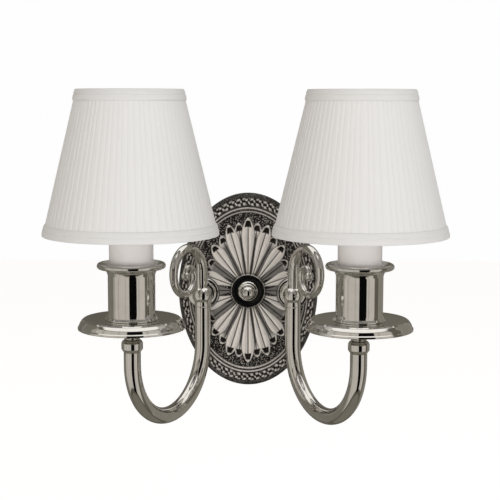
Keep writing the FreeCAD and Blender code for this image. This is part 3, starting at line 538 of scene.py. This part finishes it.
# Start, end and number of the rows of points. The rim's rows follow them.
PLATE_ROWS = ((0.03, 0.22, 8), (0.22, FIELD_END, 92), (FIELD_END, BAND_START, 18), (BAND_START, BAND_END, 28))
RIM_ROWS = 14
# Pairs of a share of the way to the rim and how far the front stands out from the wall there, in
# millimetres: dome, bead, border and rim.
PLATE_DEPTH = np.array([
    (0.0, 10.0), (0.22, 10.0), (0.55, 9.3), (0.795, 8.0), (0.803, 7.9), (0.812, 8.7), (0.820, 9.15),
    (0.829, 9.15), (0.836, 8.5), (0.842, 8.5), (0.849, 9.1), (0.857, 9.0), (0.866, 7.9), (0.872, 7.2),
    (0.934, 6.5), (0.942, 6.7), (0.955, 6.3), (0.966, 6.95), (0.980, 6.6), (0.992, 5.7), (1.0, 4.4),
])
# Pairs of the same share and how bright the metal is rubbed there.
PLATE_WORN = np.array([
    (0, 0.10), (0.79, 0.10), (0.802, 0.02), (0.810, 0.9), (0.817, 0.9), (0.823, 0.04), (0.838, 0.04),
    (0.845, 0.9), (0.852, 0.9), (0.860, 0.02), (0.965, 0.10), (1.0, 0.03),
])
# Pairs of the same share and how far the back stands out: the rim's edge, its flat and the hollow.
PLATE_BACK = np.array([
    (1.0, 2.0), (1.0, 0.0), (0.965, 0.0), (0.965, 3.8), (0.90, 4.8), (0.80, 6.0), (0.50, 7.2), (0.22, 8.0),
])


def soft_step(value, start, width):
    """0 below the start, 1 a width above it, straight between."""
    return np.clip((value - start) / width, 0, 1)


def petal_relief(x, z, half_side, half_up, count, shift, reach):
    """Height of one ring of pointed petals, from 0 to 1, how bright its metal is rubbed, and its outline.

    Along a petal t runs from 0 at its root to 1 at its tip. Its half width swells as the sine of a power of t
    and closes to a point; across it q runs from 0 to 1. Two soft lobes follow q, with a fine groove between
    them and an almond hollow in the tip.
    """
    step = 2 * math.pi / count
    angle = np.arctan2(x / half_side, z / half_up)
    middle = (np.round(angle / step - shift) + shift) * step
    tip_x = half_side * reach * np.sin(middle)
    tip_z = half_up * reach * np.cos(middle)
    length = np.hypot(tip_x, tip_z)
    along = (x * tip_x + z * tip_z) / length
    aside = (x * tip_z - z * tip_x) / length
    s = along / length
    within = (s < 1) * (s > 0)
    t = soft_step(along, PETAL_ROOT, length - PETAL_ROOT)
    width = 1.6 + 4.5 * np.sin(np.pi * t ** 1.25 * 0.72) ** 1.2
    width = width * np.sqrt(1 - (1 - np.clip((1 - t) / 0.30, 0, 1)) ** 1.8)
    q = np.abs(aside) / np.maximum(width, 0.01)
    inside = np.clip((1 - q) * width / 0.35, 0, 1) * within
    lobe = np.sqrt(np.clip(1 - ((q - 0.5) / 0.6) ** 2, 0, 1))
    groove = np.exp(-(q * width / 0.34) ** 2) * (t < 0.84)
    inner = np.clip((t - 0.80 - 0.035 * (1 - q * q)) / 0.02, 0, 1)
    hollow = inner * np.clip((0.955 - t) / 0.02, 0, 1) * np.clip((0.64 - q) / 0.14, 0, 1)
    height = inside * (0.45 + 0.55 * lobe - 0.45 * groove - 0.85 * hollow)
    bright = np.clip((1 - q) * width / 0.8, 0, 1) * np.clip(0.62 + 0.45 * lobe - 1.2 * groove, 0, 1)
    bright = np.clip(bright * (1 - 1.6 * hollow), 0, 1) * within
    return height * np.clip(0.55 + 0.55 * s, 0, 1), bright, inside


def border_relief(share, phase):
    """Running scrolls of a carved border: slanting S curves, thick in the middle, round the oval.

    share runs from 0 to 1 across the border and phase counts scrolls along it.
    """
    lean = phase + 0.60 * np.sin((share - 0.5) * np.pi) + 0.12 * np.sin(2 * np.pi * phase)
    leaf = np.cos(2 * np.pi * lean)
    curl = np.cos(2 * np.pi * (1.5 * phase - 1.3 * share) + 2.4 * np.sin(np.pi * share))
    vein = np.cos(2 * np.pi * (3.5 * phase + 1.6 * share))
    body = np.tanh(1.9 * (0.70 * leaf + 0.45 * curl + 0.30 * vein))
    return body * np.clip(np.sin(np.pi * share) * 1.8, 0, 1)


def plate_front(half_x, half_z):
    """Front of the plate over its oval: share of the way to the rim by direction, with carved relief.

    A point is (a p sin t, -depth, b p cos t). Depth is the cast dome, bead and rim, plus petals and border.
    """
    plate = bpy.context.scene.sconce_plate
    shares = [np.linspace(start, end, rows, endpoint=False) for start, end, rows in PLATE_ROWS]
    shares = np.concatenate([*shares, np.linspace(BAND_END, 1.0, RIM_ROWS)])
    p, t = np.meshgrid(shares, np.linspace(0, 1, PLATE_COLUMNS, endpoint=False), indexing="ij")
    angle = 2 * math.pi * t
    x = half_x * p * np.sin(angle)
    z = half_z * p * np.cos(angle)
    depth = np.interp(p, *PLATE_DEPTH.T)
    worn = np.interp(p, *PLATE_WORN.T)

    side = plate.reach_side / MM
    up = plate.reach_up / MM
    back_high, back_bright, back_outline = petal_relief(x, z, side, up, plate.petals, 0.5, BACK_RING_REACH)
    high, bright, outline = petal_relief(x, z, side, up, plate.petals, 0.0, 1.0)
    fade = np.clip((FIELD_END - p) / 0.02, 0, 1)
    depth = depth + np.where(outline > ON_PETAL, high * 2.5 + 0.5, back_high * 1.9) * fade
    shaded = np.clip((p - 0.52) / 0.10, 0.26, 0.9)
    bright = np.where(outline > ON_PETAL, bright, back_bright * shaded)
    petals = (np.maximum(outline, back_outline) > ON_PETAL) & (p < FIELD_END)
    worn = np.where(petals, bright, worn)
    stipple = np.where(petals, 0.0, np.where(p < FIELD_END, 1.0, 0.25))

    band = (p > BAND_START) & (p < BAND_END)
    carved = border_relief(soft_step(p, BAND_START, BAND_END - BAND_START), t * plate.scrolls)
    depth = depth + np.where(band, carved * 0.62 + 0.1, 0)
    worn = np.where(band, np.clip(1.05 * carved - 0.05, 0, 1), worn)

    disc = measures("arm_disc_right")[0]
    away = [np.hypot(x - sign * BALL_SIDE, z - BALL_UP) - disc for sign in SIDES.values()]
    away.append(np.hypot(x, z) - measures("boss_ring")[0])
    flat = -back_of("arm_disc_right")[1]
    blend = soft_step(np.minimum.reduce(away), 0.2, 0.8)
    depth = np.where(blend < 1, depth * blend + (flat - 0.15) * (1 - blend), depth)
    worn = np.where(blend < 1, worn * blend + 0.06 * (1 - blend), worn)
    return x, z, depth, worn, stipple


def lay_plate(name, node):
    """Carved front, rounded rim and hollow back of the plate as one closed surface."""
    wide, _, tall = measures(node)
    x, z, depth, worn, stipple = plate_front(wide, tall / 2)
    shares, levels = PLATE_BACK[:, :1], PLATE_BACK[:, 1:]
    all_x = np.concatenate([x, x[-1] * shares])
    all_z = np.concatenate([z, z[-1] * shares])
    all_depth = np.concatenate([depth, np.repeat(levels, PLATE_COLUMNS, axis=1)])
    points = np.stack([all_x, -all_depth, all_z], -1).reshape(-1, 3)
    points = np.vstack([points, [[0, -depth[0].mean(), 0], [0, -levels[-1, 0], 0]]])
    dull = [np.full(len(shares) * PLATE_COLUMNS, 0.15), (0.1, 0.1)]  # the back's points, then the poles
    values = {"worn": np.concatenate([worn.ravel(), *dull]),
              "stipple": np.concatenate([stipple.ravel(), *dull])}
    faces = capped_faces(len(all_x), PLATE_COLUMNS)
    piece(name, points, faces, material(antique_nickel), "fixture", (node,), values)


class SCONCE_OT_plate(Operator):
    """Cast the oval back plate with its petals, beads and carved border"""

    bl_idname = "sconce.plate"
    bl_label = "Back plate"

    def execute(self, context):
        lay_plate("carved_backplate", "backplate")
        return {"FINISHED"}


class SCONCE_OT_centre(Operator):
    """Turn the boss ring, the black ring inside it and the centre knob"""

    bl_idname = "sconce.centre"
    bl_label = "Centre boss and knob"

    def execute(self, context):
        boss, tall, _ = measures("boss_ring")
        washer, thick, _ = measures("black_washer")
        inner = washer + 0.12
        turned_nickel("boss_ring", [
            (3.0, 0), (boss, 0, 0.3), (boss, tall * 0.55, 0.9), (boss - 0.8, tall, 0.5),
            (washer + 0.7, tall, 0.3), (inner, tall - 0.9, 0.2), (inner, 1.0), (3.0, 1.0),
        ], back_of("boss_ring"), facing=True)
        turned("dark_ring", [
            (2.9, 0), (washer, 0, 0.1), (washer, thick, 0.4), (2.9, thick),
        ], back_of("black_washer"), material(black_enamel), "fixture", "black_enamel", ("black_washer",),
            facing=True)
        self.knob("centre_knob")
        return {"FINISHED"}

    def knob(self, node):
        """Ball on a stepped foot. Its arc runs from the foot's neck to the pole."""
        foot, tall, _ = measures(node)
        ball = 6.3
        ball_points = arc_points(ball, np.linspace(-0.82, math.pi / 2, 26)[:-1], 0, tall - ball)
        neck, level = ball_points[0]
        turned_nickel(node, [
            (0, 0), (foot, 0, 0.2), (foot, 1.1, 0.5), (foot - 0.9, 1.9, 0.4), (foot - 2.0, 2.1, 0.4),
            (foot - 2.9, 2.9, 0.3), (neck, level - 0.15, 0.2), *ball_points, (0, tall),
        ], back_of(node), "knob", facing=True)


# ---- arms


class PerSide:
    """What an operator does that makes the same pieces on either side."""

    def execute(self, context):
        for side in SIDES:
            self.make(side)
        return {"FINISHED"}


class SCONCE_OT_arms(PerSide, Operator):
    """Bend the arms and turn their discs and ball knuckles"""

    bl_idname = "sconce.arms"
    bl_label = "Arms, discs and balls"

    def make(self, side):
        self.disc(side)
        self.knuckle(side)
        self.tube(side)

    def disc(self, side):
        """Stepped turned disc between the plate and the ball."""
        node = "arm_disc_" + side
        wide, tall, _ = measures(node)
        step = wide - 3.0
        turned_nickel(node, [
            (5.0, 0), (wide, 0, 0.2), (wide, 1.3, 0.9), (wide - 0.9, 2.0, 0.5), (step + 0.5, 2.0, 0.25),
            (step, 2.2, 0.2), (step, 3.0, 0.8), (step - 1.2, 3.6, 0.5), (7.6, 4.0, 1.2), (6.6, tall, 0.3),
            (5.0, tall),
        ], back_of(node), facing=True)

    def knuckle(self, side):
        """Ball on a short plain neck, a little wider than the arm."""
        node = "arm_ball_" + side
        ball = arm_plane(side)[0]
        low, high = (corner[2] - ball[2] for corner in box_mm(node))
        radius = measures(node)[0] + 0.02
        neck = TUBE_RADIUS + 0.15
        arc = np.linspace(-math.acos(neck / radius), math.asin(high / radius), 40)
        turned_nickel(node, [
            (0, low), (neck, low, 0.15), *arc_points(radius, arc), (0, high),
        ], ball)

    def tube(self, side):
        """Arm: straight down from the ball, half a circle across, straight up to the collar."""
        node = "arm_tube_" + side
        ball, along, normal, span = arm_plane(side)
        bend = span / 2
        middle = ARM_LOW + bend
        down = np.linspace(box_mm(node)[1][2], middle, 24, endpoint=False)
        turn = np.linspace(0, math.pi, 120)
        rise = np.linspace(middle, box_mm("collar_" + side)[0][2], 8)[1:]
        level = np.concatenate([down * 0, bend * (1 - np.cos(turn)), rise * 0 + span])
        height = np.concatenate([down, middle - bend * np.sin(turn), rise]) - ball[2]
        path = plane_path(ball, along, level, height)
        swept_nickel("bent_arm_" + side, node, path, np.full(len(path), TUBE_RADIUS), normal, 64)


class SCONCE_OT_scrolls(PerSide, Operator):
    """Draw out the tapered scrolls that curl from the balls"""

    bl_idname = "sconce.scrolls"
    bl_label = "Scrolls"

    side_mm: FloatProperty(name="Centre out", description="Spiral's centre, out from the ball", default=25.0)
    up_mm: FloatProperty(name="Centre up", description="Spiral's centre, above the ball", default=20.7)
    radius_mm: FloatProperty(name="Radius", description="Where the spiral starts", default=24.0)
    end_mm: FloatProperty(name="End", description="Where the spiral ends", default=3.0)

    def make(self, side):
        """A straight rise, then a spiral that closes and thins as powers of the way along, then a bead."""
        node = "scroll_" + side
        ball, along, normal, _ = arm_plane(side)
        thick, thinner, bead = 5.2, 2.9, 3.9
        part = np.linspace(0, 1, 260)
        angle = 2.7 * math.pi * part
        radius = self.radius_mm - (self.radius_mm - self.end_mm) * part ** 1.65
        rise = np.linspace(box_mm(node)[0][2] - ball[2], self.up_mm, 16, endpoint=False)
        start = rise * 0 + self.side_mm - self.radius_mm
        level = np.concatenate([start, self.side_mm - radius * np.cos(angle)])
        height = np.concatenate([rise, self.up_mm + radius * np.sin(angle)])
        path = plane_path(ball, along, level, height)
        radii = np.concatenate([rise * 0 + thick, thick - thinner * part ** 0.6])
        swept_nickel("drawn_" + node, node, path, radii, normal, 48)
        outline = arc_points(bead, np.linspace(-math.pi / 2, math.pi / 2, 30))
        middle = path[-1] + unit(path[-1] - path[-2]) * bead * 0.8
        nickel = material(polished_nickel)
        turned("scroll_bead_" + side, outline, middle, nickel, "fixture", "nickel", segments=64)


# ---- candle holders


NIPPLE_BORE = 4.8  # radius in millimetres


class SCONCE_OT_holders(PerSide, Operator):
    """Turn the collar, neck, drip dish and cup under each candle"""

    bl_idname = "sconce.holders"
    bl_label = "Dishes and cups"

    def make(self, side):
        self.turn("collar_" + side, self.collar)
        self.turn("neck_" + side, self.neck)
        self.turn("dish_" + side, self.dish, segments=192)
        self.turn("cup_" + side, self.cup, segments=192)

    def turn(self, node, outline, **how):
        """Turn a node's outline, which is drawn from its half width and height."""
        wide, _, tall = measures(node)
        turned_nickel(node, outline(wide, tall), foot_of(node), **how)

    def collar(self, wide, tall):
        """Ferrule on the arm's end."""
        return [
            (5.0, 0), (wide - 1.5, 0, 0.3), (wide, 2.2, 0.8), (wide, 6.9, 1.4), (wide - 0.6, 8.4, 0.6),
            (7.2, tall, 0.4), (5.0, tall),
        ]

    def neck(self, wide, tall):
        """Waisted neck that flares under the dish, as the cosine of the way up."""
        waist = 5.6
        low, high = tall - 6.5, tall - 1.4
        flare = [(waist + (wide - waist) * (1 - math.cos(part * math.pi / 2.1)), low + (high - low) * part)
                 for part in np.linspace(0, 1, 14)]
        return [
            (NIPPLE_BORE, 0), (5.8, 0, 0.2), (6.4, 1.4, 0.7), (waist, 3.2, 0.8), *flare,
            (wide, tall - 0.6, 0.3), (wide, tall), (NIPPLE_BORE, tall),
        ]

    def dish(self, wide, tall):
        """Drip dish: flat pan, gently hollow underneath, with a rolled lip. Its pan grows with its width."""
        out = wide - 43.2
        return [
            (NIPPLE_BORE, 5.9, 0.2), (20.0 + out, 5.8, 0.3), (27.6 + out, 5.8, 8.0), (38.2 + out, 6.8, 1.6),
            (40.6 + out, 3.2, 8.0), (41.6 + out, 0, 0.3), (wide, 0, 0.4), (wide, 1.6, 0.5),
            (42.5 + out, 2.4, 0.6), (41.6 + out, 4.9, 6.0), (39.8 + out, 7.4, 1.2), (38.4 + out, tall, 0.7),
            (32.0 + out, 7.55, 20.0), (24.6 + out, 7.4, 8.0), (NIPPLE_BORE, 7.4),
        ]

    def cup(self, wide, tall):
        """Straight cup with a foot bead and a rolled lip that flares over the sleeve."""
        roll = 2.4
        rim = tall - roll
        turn = np.linspace(-math.pi / 2.2, math.pi * 0.62, 16)
        lip = arc_points(roll, turn, wide - roll, rim)
        return [
            (NIPPLE_BORE, 0, 0.2), (21.6, 0, 0.3), (21.6, 1.0, 0.4), (19.9, 2.6, 1.4), (18.9, 5.0, 2.0),
            (18.9, rim - 7.4, 3.0), (20.1, rim - 4.0, 3.0), (22.6, rim - 2.3, 1.2), *lip,
            (20.6, rim - 1.0, 2.0), (18.0, rim - 6.2, 4.0), (18.0, 1.25, 0.5), (NIPPLE_BORE, 1.25, 0.2),
        ]


class SCONCE_OT_candles(PerSide, Operator):
    """Draw the candle sleeves and blow the bulbs"""

    bl_idname = "sconce.candles"
    bl_label = "Candle sleeves and bulbs"

    def make(self, side):
        node = "candle_sleeve_" + side
        wide, _, tall = measures(node)
        inner = wide - 1.0
        white = material(moulding, "candle_sleeve", tuple(bpy.context.scene.sconce_shade.sleeve), 0.46, 500.0)
        turned("drawn_" + node, [
            (inner, 0, 0.2), (wide, 0, 0.3), (wide, tall, 0.45), (inner, tall, 0.45),
        ], foot_of(node), white, "sleeve_" + side, "sleeve", (node,), steps=5)
        node = "bulb_glass_" + side
        turned("blown_" + node, bulb_outline(node), foot_of(node), material(frosted_glass),
               "bulb_" + side, "bulb_glass", (node,))


def bulb_outline(node):
    """Candle bulb: radius grows to its belly at 0.41 of the height, then draws in to a blunt tip."""
    wide, _, tall = measures(node)
    part = np.linspace(0.0, 1.0, 60)[1:-1]
    belly = 0.41
    neck = 12.5
    lower = neck + (wide - neck) * np.sin(np.clip(part / belly, 0, 1) * math.pi / 2) ** 0.9
    upper = wide * np.cos(np.clip((part - belly) / (1 - belly), 0, 1) * math.pi / 2) ** 0.72
    radius = np.where(part < belly, lower, upper)
    return [(0, 0), (12.2, 0.05), *zip(radius, part * tall), (0, tall)]


# ---- shades

CLOTH_THICK = 0.25  # millimetres, as is the gap between the cloth's folds and the cone
PLEAT_COLUMNS = 16  # columns of points across a pleat
PLEAT_RISE = 0.84  # share of a pleat that rises before it drops back


def shade_cone(node):
    """Middle, low and high level of a shade's cover, its outer radius at the foot and its slope."""
    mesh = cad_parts[node].data
    corners = np.empty(len(mesh.vertices) * 3)
    mesh.vertices.foreach_get("co", corners)
    corners = corners.reshape(-1, 3) / MM
    middle = middle_of(node)
    low, high = (corner[2] for corner in box_mm(node))
    out = np.hypot(corners[:, 0] - middle[0], corners[:, 1] - middle[1])
    wide = out[corners[:, 2] < low + 0.1].max()
    narrow = out[corners[:, 2] > high - 0.1].max()
    return np.array([*middle[:2], 0]), low, high, wide, (narrow - wide) / (high - low)


class SCONCE_OT_shades(PerSide, Operator):
    """Pleat the shades' cloth and roll their trims"""

    bl_idname = "sconce.shades"
    bl_label = "Pleated shades"

    def make(self, side):
        self.cover(side, bpy.context.scene.sconce_shade)
        self.trim("bottom_trim_" + side, side)
        self.trim("top_trim_" + side, side)

    def cover(self, side, shade):
        """Pleated cloth: r = cone + depth x fold(a), where a knife pleat rises slowly and drops back.

        Every pleat is the same share of the turn, a little uneven, and runs straight from trim to trim.
        """
        node = "shade_cover_" + side
        middle, low, high, wide, slope = shade_cone(node)
        pleats = shade.pleats
        columns = pleats * PLEAT_COLUMNS
        turn = np.arange(columns) / columns
        lean = np.random.default_rng(7 + SIDES[side]).normal(0, 0.11, pleats)
        share = (turn * pleats) % 1.0
        number = (turn * pleats).astype(int)
        sway = lean[number] * (1 - share) + lean[(number + 1) % pleats] * share
        z, t = np.meshgrid(np.linspace(low, high, 34), turn, indexing="ij")
        rise = np.sin(np.clip(share / PLEAT_RISE, 0, 1) * math.pi / 2) ** 0.8
        drop = np.cos(np.clip((share - PLEAT_RISE) / (1 - PLEAT_RISE), 0, 0.999) * math.pi / 2) ** 0.7
        fold = np.broadcast_to(np.minimum(rise, drop), z.shape)
        up = (z - low) / (high - low)
        ease = np.clip(np.minimum(up, 1 - up) / 0.03, 0.35, 1)
        deep = shade.pleat_depth / MM
        face = wide + slope * (z - low) - CLOTH_THICK
        angle = 2 * math.pi * (t + sway / pleats)
        sheets = [np.stack([radius * np.cos(angle), radius * np.sin(angle), z], -1)
                  for radius in (face - deep * (1 - fold) * ease, face - deep - CLOTH_THICK)]
        points = np.concatenate([sheets[0], sheets[1][::-1]]).reshape(-1, 3) + middle
        faces = grid_faces(len(z) * 2, columns, round_rows=True)
        # The fold's rise is stored on the points for the cloth's painted shade in the pleats' hollows.
        values = {"fold": np.concatenate([fold, np.zeros_like(fold)])}
        piece("pleated_cover_" + side, points, faces, material(pleated_cloth), "shade_" + side,
              (node,), values)

    def trim(self, node, side):
        """Folded band round an edge of the shade: a soft roll outside, a seam line along its middle."""
        middle, low, _, wide, slope = shade_cone("shade_cover_" + side)
        most, _, tall = measures(node)
        section = self.section(tall)
        z = box_mm(node)[0][2] + section[:, 1]
        radius = wide + slope * (z - low) + section[:, 0]
        radius = radius * min(1.0, (most - 0.01) / radius.max())
        columns = 256
        points = spun(np.stack([radius, z], -1), middle, segments=columns)
        faces = grid_faces(len(section), columns, round_rows=True)
        piece("rolled_" + node, points, faces, material(trim_cloth), "shade_" + side, (node,))

    def section(self, tall):
        """Section of a trim, out from the cloth's face and up: a rounded band with a stitched groove."""
        up = np.linspace(0, 1, 40)
        bulge = 0.95 * np.clip(np.sin(math.pi * up), 0, 1) ** 0.38
        seam = 0.42 * np.exp(-((up - 0.55) / 0.05) ** 2)
        outer = np.stack([bulge - seam * (bulge > 0.5), up * tall], -1)
        inner = np.array([[-1.5, tall - 0.3], [-1.7, tall * 0.75], [-1.7, tall * 0.25], [-1.5, 0.3]])
        return np.vstack([outer, inner])


# ---- hardware kept from the frame

# CAD nodes, without the side in a pair's names, then their material's writer, name and look.
HARDWARE = (
    (("crossbar", "centre_rod", "rod_nut", "arm_nuts", "arm_nipples", "candle_nipples", "nipple_nuts",
      "socket_bracket", "shade_hanger", "bottom_ring"),
     plated_metal, "plated_steel", (0.56, 0.555, 0.54), 0.32),
    (("socket_contacts", "screw_shell"), plated_metal, "brass", (0.62, 0.44, 0.17), 0.28),
    (("ground_screw",), plated_metal, "green_ground_screw", (0.03, 0.30, 0.09), 0.36),
    (("bulb_base",), plated_metal, "bulb_base", (0.70, 0.68, 0.63), 0.26),
    (("bulb_clip",), plated_metal, "clip_wire", (0.60, 0.595, 0.58), 0.30),
    (("socket",), moulding, "phenolic", (0.025, 0.022, 0.02), 0.42),
    (("lead",), moulding, "lead_insulation", (0.75, 0.74, 0.72), 0.5),
    (("shade_lining",), moulding, "shade_lining", (0.86, 0.85, 0.83), 0.62, 700.0),
)


class SCONCE_OT_hardware(Operator):
    """Give the frame's plain metal and moulded parts their finishes"""

    bl_idname = "sconce.hardware"
    bl_label = "Hardware finishes"

    def execute(self, context):
        finishes = {}
        for nodes, write, name, *look in HARDWARE:
            finishes.update(dict.fromkeys(nodes, material(write, name, *look)))
        for node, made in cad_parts.items():
            finish = finishes.get(node) or finishes.get(node.rpartition("_")[0])
            if finish:
                made.data.materials.clear()
                made.data.materials.append(finish)
        return {"FINISHED"}


# ---- studio


ALL_ROUND = (-200, 200, 1)
ALL_UP = (-90, 90, 1)
# Each card's start, end and softness by azimuth, from the front towards the right, the same by elevation,
# all in degrees, and its colour. A later card covers an earlier one. The last is the narrow black flag.
CARDS = (
    ((-92, -6, 3), ALL_UP, (0.60, 0.565, 0.52)),
    ((-92, -80, 2), ALL_UP, (0.44, 0.415, 0.375)),
    ((-64, -58, 1.5), ALL_UP, (0.47, 0.44, 0.40)),
    ((-26, -21, 1.5), ALL_UP, (0.50, 0.47, 0.43)),
    ((30, 74, 2), ALL_UP, (0.62, 0.585, 0.545)),
    ((40, 44, 1), ALL_UP, (0.45, 0.42, 0.39)),
    ((74, 102, 3), ALL_UP, (0.14, 0.13, 0.105)),
    ((102, 152, 4), ALL_UP, (0.27, 0.255, 0.22)),
    ((152, 200, 3), ALL_UP, (0.16, 0.15, 0.125)),
    ((-128, -92, 4), ALL_UP, (0.21, 0.20, 0.17)),
    ((-156, -128, 4), ALL_UP, (0.17, 0.16, 0.135)),
    ((-200, -156, 3), ALL_UP, (0.13, 0.12, 0.10)),
    (ALL_ROUND, (40, 46, 1), (0.14, 0.13, 0.11)),
    (ALL_ROUND, (46, 95, 2), (1.15, 1.13, 1.10)),
    (ALL_ROUND, (-95, -46, 3), (0.20, 0.188, 0.155)),
    (ALL_ROUND, (-54, -46, 1.5), (0.12, 0.11, 0.09)),
    ((-5, 31, 0.6), (-50, 40, 1.5), (0.003, 0.003, 0.003)),
)
BETWEEN_CARDS = (0.62, 0.60, 0.565)
WHITE = (0.99, 0.99, 0.99)


def studio_sky(world):
    """White to the camera, soft to matt surfaces, and a studio of cards and flags to polished metal.

    Matt surfaces get less light from above and a warmer tint from the left.
    """
    world.use_nodes = True
    sh = Shader(world.node_tree)
    way = sh.node("ShaderNodeTexCoord", {}, output="Generated")
    split = sh.node("ShaderNodeSeparateXYZ", {}, [way])
    x, y, z = (Value(sh, split.socket.node.outputs[axis]) for axis in "XYZ")
    azimuth = sh.node("ShaderNodeMath", {"operation": "ARCTAN2"}, [x, y * -1.0]) * math.degrees(1)
    elevation = sh.node("ShaderNodeMath", {"operation": "ARCSINE"}, [z]) * math.degrees(1)
    reflected = BETWEEN_CARDS
    for across, up, colour in CARDS:
        reflected = sh.mix(azimuth.between(*across) * elevation.between(*up), reflected, colour)
    matt = sh.mix(elevation.ramp(-35.0, 15.0), (0.84, 0.83, 0.82), (0.53, 0.53, 0.53))
    matt = sh.mix(azimuth.between(-150.0, -50.0, 25.0), matt, (0.52, 0.475, 0.42))
    names = ("Is Glossy Ray", "Is Camera Ray", "Is Transmission Ray")
    glossy, camera, through = sh.outputs("ShaderNodeLightPath", *names)
    shown = sh.mix(glossy, matt, reflected)
    shown = sh.mix(through, sh.mix(camera, shown, WHITE), WHITE)
    background = sh.node("ShaderNodeBackground", {}, {"Color": shown, "Strength": 1.0})
    sh.node("ShaderNodeOutputWorld", {}, {"Surface": background})


class SCONCE_OT_studio(Operator):
    """Set up the pale floor, soft lamps, sky and camera"""

    bl_idname = "sconce.studio"
    bl_label = "Studio"

    floor_level: FloatProperty(name="Floor", description="Level of the floor", default=-0.50, unit="LENGTH")
    floor_half: FloatProperty(name="Floor size", description="Half of its side", default=4.0, unit="LENGTH")

    def execute(self, context):
        world = bpy.data.worlds.new("studio")
        context.scene.world = world
        studio_sky(world)
        context.scene.view_settings.view_transform = "Standard"
        self.floor()
        self.lamp("key", (0.5, -1.8, 1.35), 1.1, 10.0)
        self.lamp("fill", (1.4, -1.3, 0.3), 1.2, 4.0)
        self.lamp("low", (-0.2, -1.7, -0.42), 1.0, 11.5)
        self.camera(context.scene)
        return {"FINISHED"}

    def floor(self):
        """Wide plane that polished metal doesn't reflect."""
        half = self.floor_half
        mesh = bpy.data.meshes.new("floor")
        corners = [(x * half, y * half, self.floor_level) for x, y in ((-1, -1), (1, -1), (1, 1), (-1, 1))]
        mesh.from_pydata(corners, [], [(0, 1, 2, 3)])
        mesh.materials.append(material(studio_floor))
        floor = bpy.data.objects.new("studio_floor", mesh)
        floor.visible_glossy = False
        bpy.context.collection.objects.link(floor)

    def lamp(self, name, place, size, power):
        """Soft square lamp aimed at the sconce, left out of reflections."""
        light = bpy.data.lights.new(name, "AREA")
        light.size = size
        light.energy = power
        lamp = bpy.data.objects.new(name, light)
        lamp.location = place
        lamp.rotation_euler = (-Vector(place)).to_track_quat("-Z", "Y").to_euler()
        lamp.visible_glossy = False
        bpy.context.collection.objects.link(lamp)

    def camera(self, scene):
        """Camera turned by yaw, then pitch, then roll, with the photograph's focal length."""
        view = scene.sconce_camera
        yaw, pitch, roll = (math.radians(angle) for angle in (view.yaw, view.pitch, view.roll))
        forward = Vector((math.sin(yaw) * math.cos(pitch), math.cos(yaw) * math.cos(pitch), math.sin(pitch)))
        right = Vector((math.cos(yaw), -math.sin(yaw), 0))
        up = right.cross(forward)
        turned_right = right * math.cos(roll) + up * math.sin(roll)
        turned_up = up * math.cos(roll) - right * math.sin(roll)
        data = bpy.data.cameras.new("photograph")
        data.sensor_width = 36.0
        data.lens = view.focal * data.sensor_width / 500
        camera = bpy.data.objects.new("photograph", data)
        turn = Matrix((turned_right, turned_up, -forward)).transposed().to_4x4()
        camera.matrix_world = Matrix.Translation(Vector(view.place)) @ turn
        bpy.context.collection.objects.link(camera)
        scene.camera = camera


# ---- sidebar and running


STEPS = ("plate", "centre", "arms", "scrolls", "holders", "candles", "shades", "hardware", "studio")
SETTINGS = {
    "sconce_metal": SconceMetal,
    "sconce_shade": SconceShade,
    "sconce_plate": SconcePlate,
    "sconce_camera": SconceCamera,
}


class SCONCE_PT_sidebar(Panel):
    """Settings and steps of the sconce"""

    bl_idname = "SCONCE_PT_sidebar"
    bl_label = "Wall Sconce"
    bl_space_type = "VIEW_3D"
    bl_region_type = "UI"
    bl_category = "Sconce"

    def draw(self, context):
        for name, group in SETTINGS.items():
            box = self.layout.box()
            for field in group.__annotations__:
                box.prop(getattr(context.scene, name), field)
        for step in STEPS:
            self.layout.operator("sconce." + step)


CLASSES = (
    *SETTINGS.values(), SCONCE_OT_plate, SCONCE_OT_centre, SCONCE_OT_arms, SCONCE_OT_scrolls,
    SCONCE_OT_holders, SCONCE_OT_candles, SCONCE_OT_shades, SCONCE_OT_hardware, SCONCE_OT_studio,
    SCONCE_PT_sidebar,
)


def register():
    for made in CLASSES:
        bpy.utils.register_class(made)
    for name, group in SETTINGS.items():
        setattr(bpy.types.Scene, name, PointerProperty(type=group))


def unregister():
    for name in SETTINGS:
        delattr(bpy.types.Scene, name)
    for made in reversed(CLASSES):
        bpy.utils.unregister_class(made)


def main():
    register()
    for step in STEPS:
        getattr(bpy.ops.sconce, step)()


if __name__ == "__main__":
    main()
